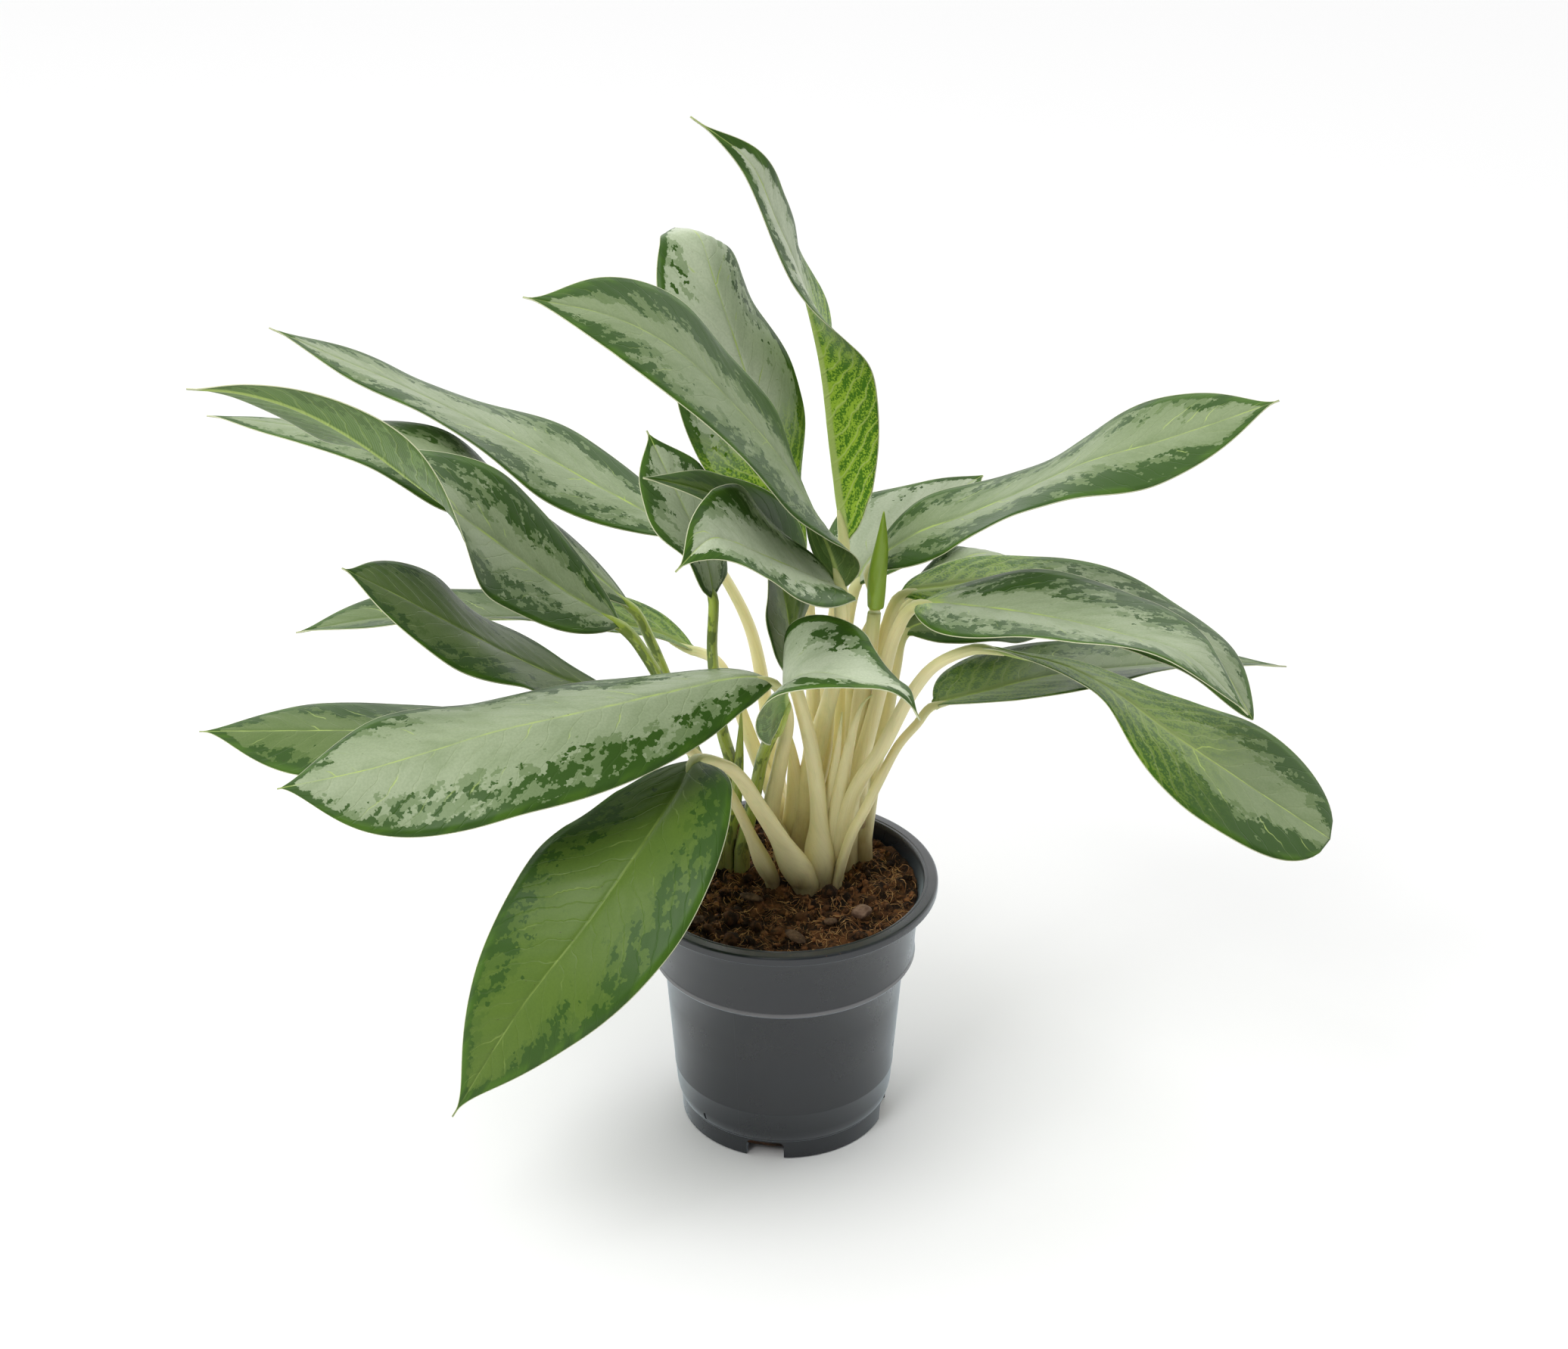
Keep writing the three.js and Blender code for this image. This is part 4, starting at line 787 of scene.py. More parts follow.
def blade_surface(leaf, shares, reaches, settings, seed):
    """Middle surface of a blade in mm, its normals, its half widths and its length."""
    points, along, normals, run = rib_stations(leaf, shares)
    sides = np.cross(along, normals)
    widths = half_widths(leaf, shares)
    chance = np.random.RandomState(seed)
    surface = np.zeros((len(shares), len(reaches), 3))
    skins = np.zeros_like(surface)
    waves = chance.uniform(1.6, 2.8, 2)
    starts = chance.uniform(0, 2 * math.pi, 2)
    turned = smooth_step(shares, *TWIST_SPAN)
    for column, signed in enumerate(reaches):
        side = 1 if signed >= 0 else -1
        reach = abs(signed)
        half = 0 if side > 0 else 1
        beyond = leaf.get("tip_fold", leaf["fold"])[half] - leaf["fold"][half]
        fold = np.radians(leaf["fold"][half] + beyond * turned)[:, None]
        cup = math.radians(leaf["cup"][half])
        angles = fold + cup * reach * (np.arange(4) + 0.5) / 4
        out, rise = np.cos(angles).mean(1), np.sin(angles).mean(1)
        turn = (fold + cup * reach) * min(1.0, reach / RIB_SHARE)
        skin = normals * np.cos(turn) - side * sides * np.sin(turn)
        sweep = shares * run - VEIN_SWEEP * reach * widths - VEIN_BEND * reach**VEIN_BEND_POWER
        bulge = np.abs(np.sin(np.pi * (sweep / (settings.vein_spacing / MM) + 0.37 * half))) - MEAN_BULGE
        height = settings.quilting / MM * bulge * math.sin(math.pi * min(reach, 1.0)) ** 0.7
        lift = np.sin(2 * math.pi * waves[half] * shares + starts[half])
        height = height + settings.ripple / MM * reach**3 * lift * np.sin(math.pi * shares) ** 0.7
        offset = np.minimum(widths / FULL_RELIEF_WIDTH, 1.0) * height
        surface[:, column] = (points + side * sides * (out * widths * reach)[:, None]
                              + normals * (rise * widths * reach)[:, None] + skin * offset[:, None])
        skins[:, column] = skin
    return surface, skins, widths, run


def shell_faces(rows, columns):
    """Faces of a thin shell with an upper and a lower grid of corners, and each face's material."""
    top = np.arange(rows * columns).reshape(rows, columns)
    low = top + top.size
    sheets = (
        (top[:-1, :-1], top[:-1, 1:], top[1:, 1:], top[1:, :-1]),
        (low[:-1, 1:], low[:-1, :-1], low[1:, :-1], low[1:, 1:]),
        (top[:-1, 0], top[1:, 0], low[1:, 0], low[:-1, 0]),
        (low[:-1, -1], low[1:, -1], top[1:, -1], top[:-1, -1]),
        (top[0, 1:], top[0, :-1], low[0, :-1], low[0, 1:]),
        (top[-1, :-1], top[-1, 1:], low[-1, 1:], low[-1, :-1]),
    )
    faces = [np.stack([corner.ravel() for corner in sheet], 1) for sheet in sheets]
    return np.concatenate(faces), np.repeat((0, 1, 0, 0, 1, 1), [len(sheet) for sheet in faces])


def blade_piece(leaf, index, settings, materials):
    """One blade: a thin closed shell with a grooved midrib above and its keel below."""
    shares = np.linspace(0, 1, int(run_along(np.asarray(leaf["rib"], float))[-1] / ROW_STEP) + 1)
    shares = 0.85 * shares + 0.15 * (0.5 - 0.5 * np.cos(math.pi * shares))
    half = np.linspace(0, 1, HALF_COLUMNS) ** 1.45
    reaches = np.concatenate([-half[:0:-1], half])
    surface, skins, widths, run = blade_surface(leaf, shares, reaches, settings, 100 + index)
    reach = np.abs(reaches)[None, :]
    away = reach * widths[:, None]
    thin = 1 - 0.6 * shares[:, None]
    body = settings.thickness / MM + (settings.margin_thickness - settings.thickness) / MM * reach**2
    groove = GROOVE_DEPTH * thin * np.exp(-((away / (GROOVE_WIDTH * thin)) ** 2))
    keel = settings.keel / MM * (1 - shares[:, None] ** 0.6) + TIP_KEEL
    keel = keel * np.exp(-((away / (KEEL_WIDTH * thin)) ** 2))
    upper = surface + skins * (body / 2 - groove)[..., None]
    lower = surface - skins * (body / 2 + keel)[..., None]
    corners = np.concatenate([upper.reshape(-1, 3), lower.reshape(-1, 3)]) * MM
    faces, kinds = shell_faces(len(shares), len(reaches))
    tall, flat = np.meshgrid(shares, reaches, indexing="ij")
    glow = 0 * tall
    # glow: where the painted green of light shining through is laid on, fading out from the base.
    if "glow" in leaf:
        glow = leaf.get("shine", 1.0) * (1 - smooth_step(tall, 0.55 * leaf["glow"], leaf["glow"]))
    maps = {
        "leaf": (tall, 0.5 + 0.5 * flat),
        "metric": (tall * run * MM + index, flat * widths[:, None] * MM),
        "edge": ((1 - np.abs(flat)) * widths[:, None] * MM, 0 * tall),
        # look: the blade's silver share, set lower on leaves in shade so that it partly paints shade, and
        # the painted green of light shining through.
        "look": (np.full_like(tall, leaf["silver"]), glow),
        "patch": (np.where(flat >= 0, *leaf.get("patches", (0.0, 0.0))), 0 * tall + leaf.get("veins", 1.0)),
    }
    maps = {name: np.tile(np.stack([u.ravel(), v.ravel()], 1), (2, 1)) for name, (u, v) in maps.items()}
    name = leaf["name"]
    return mesh_piece("leaf_" + name, corners, faces, materials, "blade_" + name, kinds, maps)


# ---------------------------------------------------------------- stalks and shoots


def stalk_finish(name, body, foot, top, settings, mottled=False):
    """A stalk: fine lengthwise fibres, brownish at its foot and fresher near the blade."""
    finish = Finish(name, Specular_IOR_Level=0.5, Subsurface_Weight=0.12, Subsurface_Scale=0.002)
    share_along, _ = finish.map("stalk")
    along, out = (value * MM_PER_METRE for value in finish.map("metric"))
    fibres = finish.vector(along * 0.02, out).noise(1.1, 3.0, 0.6)
    cloud = finish.vector(along * 0.5, out).noise(0.12, 3.0, 0.6)
    spots = finish.vector(along, out).noise(0.8, 2.0)
    marks = [(cloud.step(0.5, 0.8, 0.0, 0.25), settings.fresh)]
    if mottled:
        streak = finish.vector(along * 0.09, out).noise(0.45, 3.0, 0.7)
        marks = [(streak.step(0.50, 0.56, 0.0, 0.8), settings.fresh),
                 (cloud.step(0.52, 0.58, 0.0, 0.7), STALK_MOTTLE)]
    colour = finish.layered(
        body, (fibres.step(0.40, 0.75, 0.0, 0.14), foot), *marks,
        (share_along.step(0.80, 1.0, 0.0, 0.6), top),
        ((cloud * 0.22 + share_along).step(0.08, 0.30, 0.85, 0.0), foot),
        (spots.step(0.72, 0.77, 0.0, 0.5), settings.tan))
    roughness = cloud.step(0.3, 0.7, 0.36, 0.50)
    return finish.done(colour, roughness, spots * 0.3 + fibres, 0.25 * MM, 0.6)


def swept(points, start, radii, section):
    """Corners, faces and maps of a closed tube: section(share, angles) shapes each ring."""
    along = directions(points)
    angles = np.arange(TUBE_SIDES) * 2 * math.pi / TUBE_SIDES
    normals = carried(squared(np.array([start]), along[:1])[0], along)
    across = np.cross(along, normals)
    shares = np.linspace(0, 1, len(points))
    corners = []
    for point, side, normal, radius, share_along in zip(points, across, normals, radii, shares):
        wide, deep = section(share_along, angles)
        corners.append(point + radius * (np.outer(np.cos(angles) * wide, side)
                                         + np.outer(np.sin(angles) * deep, normal)))
    tall = np.repeat(shares, TUBE_SIDES)
    turn = np.tile(angles, len(points))
    stalk_map = np.stack([tall, turn / (2 * math.pi)], 1)
    run, around = np.repeat(run_along(points), TUBE_SIDES), turn * np.repeat(radii, TUBE_SIDES)
    metric = np.stack([run, around], 1) * MM
    return np.concatenate(corners), stalk_map, metric, tube_faces(len(points), TUBE_SIDES)


def stalk_section(share_along, angles):
    """A flattened round with a channel on its upper side, deep and lipped in the sheathing foot."""
    upper = np.angle(np.exp(1j * (angles - math.pi / 2)))
    sheath = 1 - float(smooth_step(share_along, 0.28, 0.50))
    channel = (0.10 + 0.16 * sheath) * np.exp(-((upper / (0.50 + 0.15 * sheath)) ** 2))
    lips = 0.05 * sheath * (np.exp(-(((upper - 0.95) / 0.2) ** 2)) + np.exp(-(((upper + 0.95) / 0.2) ** 2)))
    shape = 1 - channel + lips
    return shape, 0.80 * shape


def stalk_tube(leaf, settings):
    """A leaf's stalk from below the soil to a little way along the underside of its blade."""
    path, base = leaf_path(leaf)
    points, _ = curve_points(path, 0, base, np.linspace(0, 1, STALK_RINGS))
    entry, _, normals, _ = rib_stations(leaf, np.array(ENTRY_SHARES))
    buried = [points[0] - (0, 0, depth) for depth in BURIED_DEPTHS]
    points = np.vstack([buried, points[:-1], entry - normals * np.array(ENTRY_DEPTHS)[:, None]])
    run = run_along(points)
    place = np.clip(run / run[-1 - len(entry)], 0, 1)
    top, foot = leaf.get("thick", (settings.top_radius / MM, settings.foot_radius / MM))
    radii = top + (foot - top) * (1 - place) ** 1.6
    radii = radii + leaf.get("bulb", 0.0) * np.exp(-(((run - 36) / 16) ** 2))
    lump = np.random.RandomState(len(leaf["name"])).uniform(-1, 1, 3)
    for wave in range(3):
        radii = radii * (1 + 0.018 * lump[wave] * np.sin((wave + 1.5) * math.pi * place))
    radii[-len(entry):] *= (0.95, 0.8, 0.6, 0.3)
    start = carried(normals[0], directions(points)[::-1])[-1]
    return swept(points, start, radii, stalk_section)


def sheath_section(share_along, angles):
    """A deep gutter: the pointed end of a sheath, open at the back."""
    back = np.angle(np.exp(1j * (angles + math.pi / 2)))
    hollow = 0.5 * np.exp(-((back / 0.7) ** 2))
    return 1 - 0.2 * hollow, 0.75 * (1 - hollow)


def pointed_tube(path, radius, tip, section, count=30):
    points, _ = curve_points(path, 0, len(path) - 1, np.linspace(0, 1, count))
    radii = tip + (radius - tip) * np.sin(math.pi * (0.35 + 0.65 * np.linspace(0, 1, count)))
    return swept(points, (0.0, -1.0, 0.1), radii, section)


def cane_section(share_along, angles):
    ringed = np.full_like(angles, 1 + 0.03 * math.sin(share_along * 40))
    return ringed, ringed


def cane_tube(shoot):
    """The short cane at the foot of a shoot, with the scars of old sheaths round it."""
    top = shoot["top"] - CANE_DROP
    heights = np.linspace(CANE_FOOT, top, 24)
    widths = np.array([0.5, 0.62, 0.62, 0.5, 0.3]) * shoot["radius"]
    radii = np.interp(heights, [CANE_FOOT, 130, 143, top - 6, top], widths)
    points = np.array([(*shoot["at"], height) for height in heights])
    return swept(points, FRONT, radii, cane_section)


def tubes_piece(name, tubes, material, node):
    """Closed tubes as one piece that stands for a node."""
    faces, count = [], 0
    for tube in tubes:
        faces += [[count + corner for corner in face] for face in tube[3]]
        count += len(tube[0])
    corners, stalk_map, metric = (np.concatenate([tube[part] for tube in tubes]) for part in range(3))
    return mesh_piece(name, corners * MM, faces, [material], node,
                      maps={"stalk": stalk_map, "metric": metric})


def shoot_piece(name, settings, materials):
    """A shoot: its cane, the stalks of its leaves and the pointed ends of its sheaths."""
    shoot = SHOOTS[name]
    tubes = [cane_tube(shoot)]
    tubes += [stalk_tube(leaf, settings) for leaf in LEAVES if leaf["shoot"] == name]
    tubes += [pointed_tube(sheath["path"], sheath["radius"], 0.35, sheath_section)
              for sheath in SHEATHS if sheath["shoot"] == name]
    if ROLLED_LEAF["shoot"] == name:
        stalk = ROLLED_LEAF["stalk"]
        points, _ = curve_points(stalk, 0, len(stalk) - 1, np.linspace(0, 1, 30))
        radii = np.linspace(settings.foot_radius, settings.top_radius, 30) / MM
        tubes.append(swept(points, FRONT, radii, stalk_section))
    tone = shoot["tone"]
    return tubes_piece("stalks_" + name, tubes, materials[tone], "shoot_" + name)


def rolled_section(share_along, angles):
    """A spiral: the free edge of the rolled blade stands proud and winds slowly round."""
    wound = ((angles / (2 * math.pi)) + 0.62 + 0.35 * share_along) % 1.0
    shape = 0.80 + 0.20 * wound
    return shape, 0.92 * shape


def rolled_leaf_piece(material):
    tube = pointed_tube(ROLLED_LEAF["path"], ROLLED_LEAF["radius"], 0.4, rolled_section, 40)
    return tubes_piece("rolled_leaf_fine", [tube], material, "rolled_leaf")


# ---------------------------------------------------------------- pot


def plastic_finish(settings):
    """Moulded plastic: slight clouding, a painted highlight along the ledge, a mould line and specks of
    soil.
    """
    finish = Finish("pot_plastic", Specular_IOR_Level=0.65, IOR=1.5, Sheen_Weight=0.85,
                    Sheen_Roughness=0.32, Sheen_Tint=(0.78, 0.90, 1.0))
    place = finish.place()
    x, y, z = place.split()
    cloud = place.noise(28.0, 4.0, 0.6)
    scuffs = finish.vector(x, y, z * 12.0).noise(60.0, 4.0, 0.7)
    soiled = place.noise(420.0, 3.0, 0.6)
    lighter = tuple(min(1.0, 1.7 * value) for value in settings.colour)
    off_ledge = abs(z - (settings.ledge_height + 0.9 * MM))
    off_line = abs(finish.math("ARCTAN2", x, y * -1.0) - math.radians(MOULD_LINE_AZIMUTH))
    low, high = (height * MM for height in MOULD_LINE_END)
    line = off_line.step(0.002, 0.006, 1.0, 0.0) * z.step(low, high, 1.0, 0.0)
    top = z.step(settings.height - 4 * MM, settings.height)
    colour = finish.layered(
        settings.colour,
        (cloud.step(0.3, 0.75, 0.0, 0.5), lighter),
        (scuffs.step(0.62, 0.8, 0.0, 0.3), lighter),
        # Painted highlight: a pale band along the ledge where it catches the light.
        (off_ledge.step(0.5 * MM, 1.5 * MM, 0.75, 0.0), settings.ledge_highlight),
        (line * 0.35, lighter),
        (soiled.step(0.66, 0.70) * top, SOIL_SPECK))
    roughness = cloud.step(0.3, 0.7, settings.roughness - 0.05, settings.roughness + 0.07)
    return finish.done(colour, roughness, cloud * 0.05 + line, 0.10 * MM, 0.4)


def arc(centre, radius, start, end, count):
    """Points of an arc in the profile's plane, angles in degrees."""
    turns = np.radians(np.linspace(start, end, count))
    return [(centre[0] + radius * math.cos(turn), centre[1] + radius * math.sin(turn)) for turn in turns]


def pot_profile(settings):
    """Half section of the pot in mm, from the floor's underside outwards, up and back inside."""
    rim, top, wall = settings.rim_radius / MM, settings.height / MM, settings.wall / MM
    ledge = settings.ledge_height / MM
    outside = [
        (0, 0), (15.6, 0), (16.2, 0.2), (18, 3.6), (51, 3.6), (52.6, 0.4), (53.2, 0), (57.2, 0),
        (57.7, 0.4), (58.3, 11.6), (58.7, 12.1), (58.7, 12.7), (59.0, 13.2), (60.0, 16.4), (60.6, 19.5),
        (61.55, 31.0), (61.85, 31.6), (61.9, 32.3), (61.8, 33.0),
        (63.6, 56), (65.4, 80), (66.9, ledge - 3.4), (67.4, ledge - 2.6), (69.0, ledge - 1.9),
        (71.6, ledge - 1.2), (72.7, ledge - 0.6), (73.15, ledge + 0.2), (73.05, ledge + 1.1),
        (72.65, ledge + 1.9), (72.6, ledge + 3.0), (73.0, ledge + 10), (73.6, ledge + 18),
        (74.6, ledge + 25), (76.0, ledge + 32), (77.6, top - 6.2), (78.2, top - 5.6), (83.4, top - 5.5),
    ]
    lip = arc((rim - 0.9, top - 4.6), 0.9, -90, 0, 5) + arc((rim - 1.5, top - 1.5), 1.5, 0, 90, 7)
    inner_rim = [
        (rim - 5.2, top), (rim - 5.6, top - 0.35), (rim - 6.1, top - 0.35), (rim - 6.5, top),
        (rim - 7.1, top - 0.05), (rim - 7.7, top - 0.6), (rim - 8.3, top - 3),
    ]
    inside = [
        (76.0 - wall, ledge + 32), (73.6 - wall, ledge + 18), (72.6 - wall, ledge + 1),
        (71.0 - wall, ledge - 0.6), (67.0 - wall, ledge - 2.5), (60.6 - wall, 19.5), (57.4 - wall, 7.2),
        (55.2, 6), (0, 6),
    ]
    return outside + lip + inner_rim + inside


def block(outline, azimuth, near, far):
    """A bar with the given x-z outline, reaching from radius near to far towards an azimuth."""
    turn = math.radians(azimuth)
    return [(x * math.cos(turn) + reach * math.sin(turn), x * math.sin(turn) - reach * math.cos(turn), z)
            for reach in (near, far) for x, z in outline]


def pot_cutters():
    """One mesh with everything that is cut out of the pot: notches, drains and the slit."""
    half, high, corner = NOTCHES["width"] / 2, NOTCHES["height"], NOTCHES["corner"]
    notch = [(-half, -3), (half, -3), *arc((half - corner, high - corner), corner, 0, 90, 6),
             *arc((corner - half, high - corner), corner, 90, 180, 6)]
    side = SLIT["width"] / 2
    slit = [(-side, SLIT["low"]), (side, SLIT["low"]), (side, SLIT["high"]), (-side, SLIT["high"])]
    bars = [block(notch, NOTCHES["first_azimuth"] + i * 360 / NOTCHES["count"], *NOTCHES["reach"])
            for i in range(NOTCHES["count"])]
    bars.append(block(slit, SLIT["azimuth"], *SLIT["reach"]))
    for i in range(DRAINS["count"]):
        turn = math.radians((i + 0.5) * 360 / DRAINS["count"])
        centre = (DRAINS["circle"] * math.sin(turn), -DRAINS["circle"] * math.cos(turn))
        ring = arc(centre, DRAINS["radius"], 0, 360, DRAINS["sides"] + 1)[:-1]
        bars.append([(*point, z) for z in DRAINS["heights"] for point in ring])
    build = bmesh.new()
    for bar in bars:
        corners = [build.verts.new([MM * value for value in point]) for point in bar]
        count = len(bar) // 2
        for face in ring_faces(2, count) + [range(count), range(count, 2 * count)]:
            build.faces.new([corners[i] for i in face])
    bmesh.ops.recalc_face_normals(build, faces=build.faces)
    return shown("pot_cutters", mesh_of("pot_cutters", build))


def mesh_of(name, build):
    """Turns a finished bmesh into a mesh."""
    mesh = bpy.data.meshes.new(name)
    build.to_mesh(mesh)
    build.free()
    return mesh


def pot_piece(settings, material):
    """The pot, turned from its profile, with the notches, drains and slit cut out."""
    (_, low), *rings, (_, high) = pot_profile(settings)
    turns = np.arange(POT_SEGMENTS) * 2 * math.pi / POT_SEGMENTS
    corners = [(0, 0, low)]
    for radius, height in rings:
        corners += [(radius * math.sin(turn), -radius * math.cos(turn), height) for turn in turns]
    corners.append((0, 0, high))
    mesh = bpy.data.meshes.new("pot_turned")
    mesh.from_pydata(np.array(corners) * MM, [], turned_faces(len(rings), POT_SEGMENTS))
    turned, cutters = shown("nursery_pot", mesh), pot_cutters()
    cut = turned.modifiers.new("cut", "BOOLEAN")
    cut.operation, cut.solver, cut.object = "DIFFERENCE", "EXACT", cutters
    mesh = bpy.data.meshes.new_from_object(turned.evaluated_get(bpy.context.evaluated_depsgraph_get()))
    turned.modifiers.clear()
    turned.data = mesh
    bpy.data.objects.remove(cutters)
    mesh.materials.clear()
    mesh.materials.append(material)
    mesh.shade_smooth()
    mesh.set_sharp_from_angle(angle=math.radians(35))
    return finish_piece(turned, "pot")


# ---------------------------------------------------------------- soil and what lies on it


def soil_finish(settings):
    """Coir and peat: brown clumps, darker hollows and fine straw-coloured threads."""
    finish = Finish("soil_coir", Specular_IOR_Level=0.25)
    place = finish.place()
    clumps = place.noise(110.0, 5.0, 0.65, 0.6)
    threads = place.noise(600.0, 3.0, 0.7, 2.5)
    damp = place.noise(30.0, 2.0)
    colour = finish.layered(
        settings.dark, (clumps.step(0.42, 0.68), settings.warm),
        (threads.step(0.60, 0.72, 0.0, 0.55), settings.straw),
        (damp.step(0.40, 0.62, 0.55, 0.0), settings.dark))
    return finish.done(colour, clumps.step(0.3, 0.7, 0.98, 0.82), threads * 0.5 + clumps, 1.6 * MM)


def litter_finish(name, low, high, scale, rough=0.9):
    """Bark, stone, crumbs or fibres: two tones and a rough skin."""
    finish = Finish(name, Specular_IOR_Level=0.3)
    place = finish.place()
    tone = place.noise(scale, 4.0, 0.6)
    pits = place.noise(scale * 6, 3.0, 0.6)
    colour = finish.layered(
        low, (tone.step(0.34, 0.66), high), (pits.step(0.55, 0.75, 0.0, 0.5), low))
    roughness = tone.step(0.3, 0.7, rough, rough - 0.15)
    return finish.done(colour, roughness, pits * 0.4 + tone, 0.5 * MM, 0.9)


def ground_height(x, y, settings):
    """Height of the soil in mm at a place in mm: low lumps with finer ones on them."""
    lumps = (math.sin(x * 0.21 + 1.3) * math.cos(y * 0.17 - 0.4)
             + 0.6 * math.sin(x * 0.11 - y * 0.23 + 2.1) + 0.4 * math.cos(x * 0.37 + y * 0.31))
    coarse = noise.fractal(Vector((x * 0.11, y * 0.11, 3.0)), 0.9, 2.0, 4)
    fine = noise.fractal(Vector((x * 0.42, y * 0.42, 9.0)), 0.8, 2.1, 3)
    return settings.level / MM + 1.1 * lumps + 2.3 * coarse + 1.0 * fine


def soil_piece(settings, material):
    """The plug of soil: a lumpy top on a body that fills the pot with a hair of room."""
    turns = np.arange(SOIL_SECTORS) * 2 * math.pi / SOIL_SECTORS
    corners = [(0, 0, SOIL_BODY[0][1])]
    for radius, height in SOIL_BODY:
        corners += [(radius * math.cos(turn), radius * math.sin(turn), height) for turn in turns]
    for ring in range(SOIL_RINGS, 0, -1):
        radius = SOIL_RADIUS * ring / SOIL_RINGS
        for turn in turns:
            x, y = radius * math.cos(turn), radius * math.sin(turn)
            corners.append((x, y, ground_height(x, y, settings)))
    corners.append((0, 0, ground_height(0, 0, settings)))
    faces = turned_faces(len(SOIL_BODY) + SOIL_RINGS, SOIL_SECTORS)
    return mesh_piece("coir_soil", np.array(corners) * MM, faces, [material], "soil")


def round_blank(divisions):
    """Corners and triangles of a unit ball of even triangles."""
    build = bmesh.new()
    bmesh.ops.create_icosphere(build, subdivisions=divisions, radius=1.0)
    corners = np.array([corner.co[:] for corner in build.verts])
    faces = np.array([[corner.index for corner in face.verts] for face in build.faces])
    build.free()
    return corners, faces


def turned_about(chance):
    """A random rotation."""
    spin, _ = np.linalg.qr(chance.normal(size=(3, 3)))
    return spin * np.sign(np.linalg.det(spin))


def random_spot(chance, reach):
    turn, radius = chance.uniform(0, 2 * math.pi), reach * math.sqrt(chance.uniform(0, 1))
    return radius * math.cos(turn), radius * math.sin(turn)


def crumbs_piece(name, count, settings, material, sizes, divisions, seed):
    """Loose lumps, half sunk into the soil all over."""
    chance = np.random.RandomState(seed)
    ball, triangles = round_blank(divisions)
    corners, faces = [], []
    for index in range(count):
        size = sizes[0] + (sizes[1] - sizes[0]) * chance.uniform() ** 2.4
        x, y = random_spot(chance, SOIL_RADIUS - 0.5 - size)
        uneven = ball * (1 + 0.35 * (chance.uniform(size=(len(ball), 1)) - 0.5))
        uneven = uneven * chance.uniform(0.55, 1.25, 3) @ turned_about(chance).T
        z = ground_height(x, y, settings) + 0.25 * size
        corners.append(uneven * size + (x, y, z))
        faces.append(triangles + index * len(ball))
    return mesh_piece(name, np.concatenate(corners) * MM, np.concatenate(faces), [material], None)


def fibres_piece(settings, material):
    """Loose coir fibres: thin bent threads lying on the soil and standing a little out of it."""
    chance = np.random.RandomState(77)
    steps, sides = len(FIBRE_TAPER), 3
    turns = np.arange(sides) * 2 * math.pi / sides
    corners, faces = [], []
    for index in range(settings.fibres):
        x, y = random_spot(chance, SOIL_RADIUS - 4)
        heading, bend = chance.uniform(0, 2 * math.pi), chance.normal(0, 0.35)
        reach, thick = chance.uniform(4, 15), chance.uniform(0.09, 0.24)
        arch = chance.uniform(0.0, 0.35) * reach * chance.uniform() ** 2
        path = []
        for step in range(steps):
            x += reach / steps * math.cos(heading)
            y += reach / steps * math.sin(heading)
            heading += bend
            pull = min(1.0, (SOIL_RADIUS - 1) / max(math.hypot(x, y), 1.0))
            x, y = x * pull, y * pull
            rise = 0.3 + arch * math.sin(math.pi * step / (steps - 1))
            path.append((x, y, ground_height(x, y, settings) + rise))
        path = np.array(path)
        along = directions(path)
        across = unit(np.cross(along, (0.0, 0.0, 1.0)) + 1e-6)
        up = np.cross(across, along)
        thickness = thick * np.array(FIBRE_TAPER)
        rings = (path[:, None] + thickness[:, None, None] * (
            np.cos(turns)[None, :, None] * across[:, None] + np.sin(turns)[None, :, None] * up[:, None]))
        corners.append(rings.reshape(-1, 3))
        faces += tube_faces(steps, sides, index * steps * sides)
    return mesh_piece("coir_fibres", np.concatenate(corners) * MM, faces, [material], None)


def chip_piece(node, material, rough):
    """A bark chip or stone: the CAD solid, divided finely and roughened along its normals."""
    build = bmesh.new()
    build.from_mesh(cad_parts[node].data)
    bmesh.ops.remove_doubles(build, verts=build.verts, dist=1e-6)
    bmesh.ops.subdivide_edges(build, edges=build.edges, cuts=4, use_grid_fill=True, smooth=0.35)
    build.normal_update()
    for corner in build.verts:
        place = corner.co / MM
        swell = noise.fractal(place * 0.35, 0.8, 2.0, 3) + 0.35 * noise.cell(place * 0.6)
        corner.co = corner.co - corner.normal * (rough * MM * (0.35 + 0.5 * abs(swell)))
    mesh = mesh_of(node + "_fine", build)
    mesh.materials.append(material)
    mesh.shade_smooth()
    return finish_piece(shown(node + "_fine", mesh), node)


# ---------------------------------------------------------------- operators


class EVERGREEN_OT_pot(Operator):
    """Build the moulded nursery pot"""

    bl_idname = "evergreen.pot"
    bl_label = "Build Pot"

    def execute(self, context):
        settings = context.scene.evergreen_pot
        pot_piece(settings, plastic_finish(settings))
        return {"FINISHED"}


class EVERGREEN_OT_soil(Operator):
    """Build the soil with its crumbs and fibres"""

    bl_idname = "evergreen.soil"
    bl_label = "Build Soil"

    def execute(self, context):
        settings = context.scene.evergreen_soil
        coir = soil_finish(settings)
        warm = litter_finish("coir_crumb", settings.dark, settings.warm, scale=260.0)
        straw = litter_finish("coir_fibre", settings.warm, settings.straw, scale=180.0, rough=0.8)
        soil_piece(settings, coir)
        clumps = settings.crumbs // 8
        crumbs_piece("coir_clumps", clumps, settings, coir, sizes=(2.2, 4.6), divisions=2, seed=5)
        crumbs_piece("coir_crumbs", settings.crumbs, settings, warm, sizes=(0.5, 2.4), divisions=1, seed=6)
        fibres_piece(settings, straw)
        return {"FINISHED"}


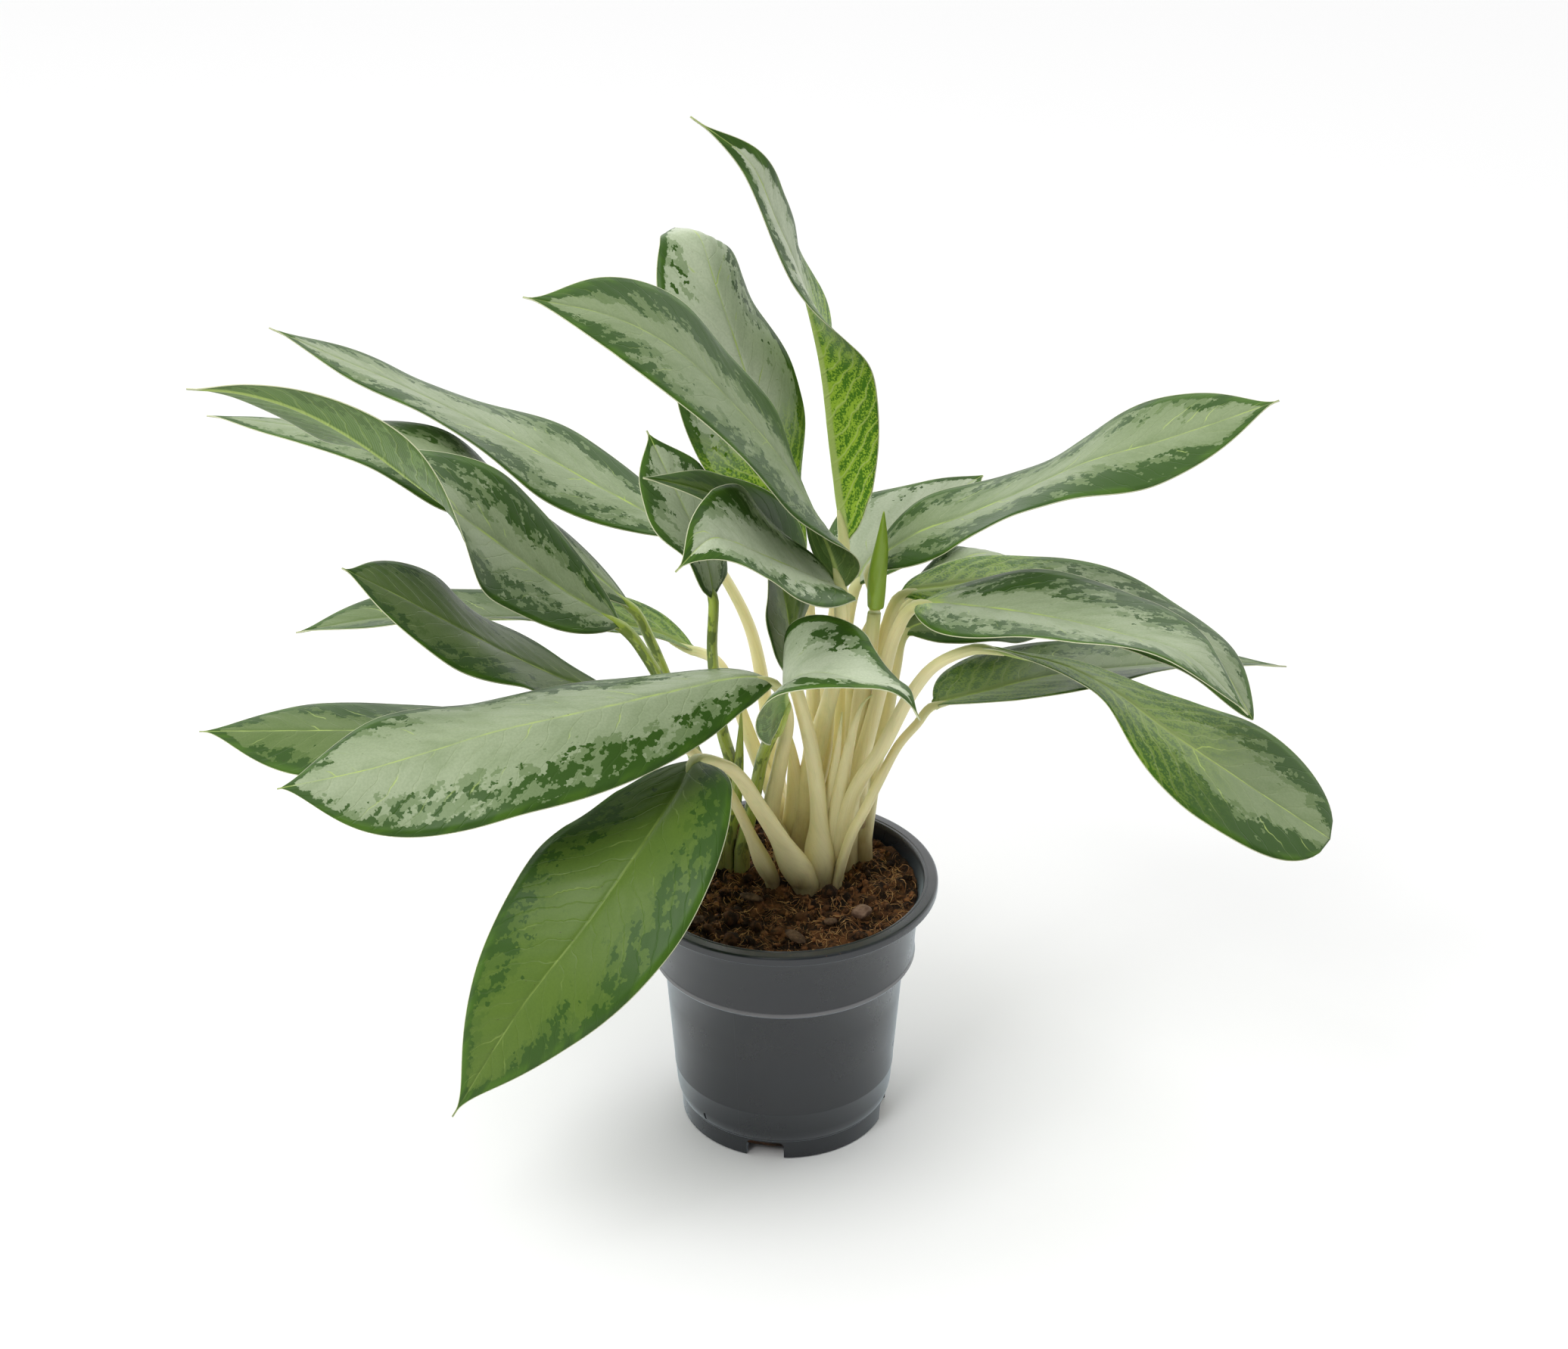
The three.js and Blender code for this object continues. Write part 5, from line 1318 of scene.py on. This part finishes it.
class EVERGREEN_OT_chips(Operator):
    """Build the bark chips and the pale stone that lie on the soil"""

    bl_idname = "evergreen.chips"
    bl_label = "Build Chips"

    def execute(self, context):
        settings = context.scene.evergreen_soil
        bark = litter_finish("bark_brown", *BARK_TONES, scale=240.0)
        stone = litter_finish("stone_pale", STONE_HOLLOWS, settings.stone, scale=200.0, rough=0.85)
        for node in CHIP_NODES:
            chip_piece(node, bark, rough=1.0)
        chip_piece("stone_pale", stone, rough=0.8)
        return {"FINISHED"}


class EVERGREEN_OT_stalks(Operator):
    """Build the six shoots with their stalks and sheaths"""

    bl_idname = "evergreen.stalks"
    bl_label = "Build Stalks"

    def execute(self, context):
        settings = context.scene.evergreen_stalk
        green = settings.green
        materials = {
            "cream": stalk_finish("stalk_cream", settings.cream, settings.tan, settings.fresh, settings),
            "green": stalk_finish("stalk_green", green, GREEN_FOOT, green, settings, mottled=True),
        }
        for name in SHOOTS:
            shoot_piece(name, settings, materials)
        return {"FINISHED"}


class EVERGREEN_OT_leaves(Operator):
    """Build the 23 open leaves"""

    bl_idname = "evergreen.leaves"
    bl_label = "Build Leaves"

    def execute(self, context):
        settings = context.scene.evergreen_leaf
        materials = [blade_finish(settings), underside_finish(settings)]
        for index, leaf in enumerate(LEAVES):
            blade_piece(leaf, index, settings, materials)
        return {"FINISHED"}


class EVERGREEN_OT_rolled_leaf(Operator):
    """Build the newest leaf, still rolled into a spike"""

    bl_idname = "evergreen.rolled_leaf"
    bl_label = "Build Rolled Leaf"

    def execute(self, context):
        stalks, leaves = context.scene.evergreen_stalk, context.scene.evergreen_leaf
        # The rolled leaf takes a darker share of the painted green of light shining through a blade as its
        # own colour.
        backlit = tuple(0.78 * value for value in leaves.backlit)
        rolled_leaf_piece(stalk_finish("rolled_green", backlit, backlit, backlit, stalks))
        return {"FINISHED"}


def white_surroundings(strength):
    """A white surround, dim to the front and bright behind, plain white to look at."""
    world = bpy.data.worlds.new("studio")
    bpy.context.scene.world = world
    world.use_nodes = True
    nodes = Nodes(world.node_tree)
    _, ahead, _ = nodes.add("ShaderNodeTexCoord", {}, "Generated").split()
    light = ahead.step(-0.95, 0.55, 0.08 * strength, strength)
    seen = nodes.add("ShaderNodeLightPath", {}, "Is Camera Ray")
    background = world.node_tree.nodes["Background"]
    nodes.link(background.inputs["Strength"], nodes.add("ShaderNodeMix", {0: seen, 2: light, 3: 1.0}))
    nodes.link(background.inputs["Color"], (1.0, 1.0, 1.0))


def soft_light(name, size, power, place, target):
    """A large square light that looks at a point."""
    light = bpy.data.lights.new(name, "AREA")
    light.shape, light.size, light.energy = "SQUARE", size, power
    lamp = shown(name, light)
    lamp.location = place
    lamp.rotation_euler = (Vector(target) - Vector(place)).to_track_quat("-Z", "Y").to_euler()


class EVERGREEN_OT_stage(Operator):
    """Build the floor, the lights and the camera"""

    bl_idname = "evergreen.stage"
    bl_label = "Build Stage"

    def execute(self, context):
        settings = context.scene.evergreen_stage
        half = settings.floor_size / 2
        finish = Finish("floor_white", Specular_IOR_Level=0.1)
        cloud = finish.place().noise(0.8, 2.0)
        duller = tuple(0.99 * value for value in settings.floor_colour)
        mesh = bpy.data.meshes.new("floor")
        corners = [(-half, -half, 0), (half, -half, 0), (half, half, 0), (-half, half, 0)]
        mesh.from_pydata(corners, [], [(0, 1, 2, 3)])
        mesh.materials.append(finish.done(finish.mix(cloud, settings.floor_colour, duller), 0.9))
        floor = shown("floor", mesh)
        floor.location.z = POT_LOW.z - 0.3 * MM
        white_surroundings(settings.sky)
        target = Vector((0.0, 0.0, settings.target_height))
        soft_light("key", 1.2, settings.key, (-0.9, -1.0, 1.7), target)
        camera = shown("camera", bpy.data.cameras.new("camera"))
        camera.data.lens = settings.lens
        camera.data.clip_end = 60.0
        back = Vector((0.0, -math.cos(settings.elevation), math.sin(settings.elevation)))
        camera.location = target + back * settings.distance
        camera.rotation_euler = (-back).to_track_quat("-Z", "Y").to_euler()
        context.scene.camera = camera
        context.scene.view_settings.view_transform = "Standard"
        return {"FINISHED"}


STEPS = (
    EVERGREEN_OT_pot, EVERGREEN_OT_soil, EVERGREEN_OT_chips, EVERGREEN_OT_stalks,
    EVERGREEN_OT_leaves, EVERGREEN_OT_rolled_leaf, EVERGREEN_OT_stage,
)
SETTINGS = {
    "evergreen_pot": EvergreenPot, "evergreen_soil": EvergreenSoil, "evergreen_leaf": EvergreenLeaf,
    "evergreen_stalk": EvergreenStalk, "evergreen_stage": EvergreenStage,
}


class EVERGREEN_PT_panel(Panel):
    """Steps and settings of the potted evergreen"""

    bl_idname = "EVERGREEN_PT_panel"
    bl_label = "Potted Evergreen"
    bl_space_type = "VIEW_3D"
    bl_region_type = "UI"
    bl_category = "Evergreen"

    def draw(self, context):
        for step in STEPS:
            self.layout.operator(step.bl_idname)
        for name in SETTINGS:
            settings = getattr(context.scene, name)
            box = self.layout.box()
            for key in settings.__annotations__:
                box.prop(settings, key)


def register():
    for group in SETTINGS.values():
        bpy.utils.register_class(group)
    for name, group in SETTINGS.items():
        setattr(bpy.types.Scene, name, PointerProperty(type=group))
    for step in STEPS:
        bpy.utils.register_class(step)
    bpy.utils.register_class(EVERGREEN_PT_panel)


def unregister():
    bpy.utils.unregister_class(EVERGREEN_PT_panel)
    for step in reversed(STEPS):
        bpy.utils.unregister_class(step)
    for name, group in SETTINGS.items():
        delattr(bpy.types.Scene, name)
        bpy.utils.unregister_class(group)


def main():
    register()
    for step in STEPS:
        group, operator = step.bl_idname.split(".")
        getattr(getattr(bpy.ops, group), operator)()


if __name__ == "__main__":
    main()
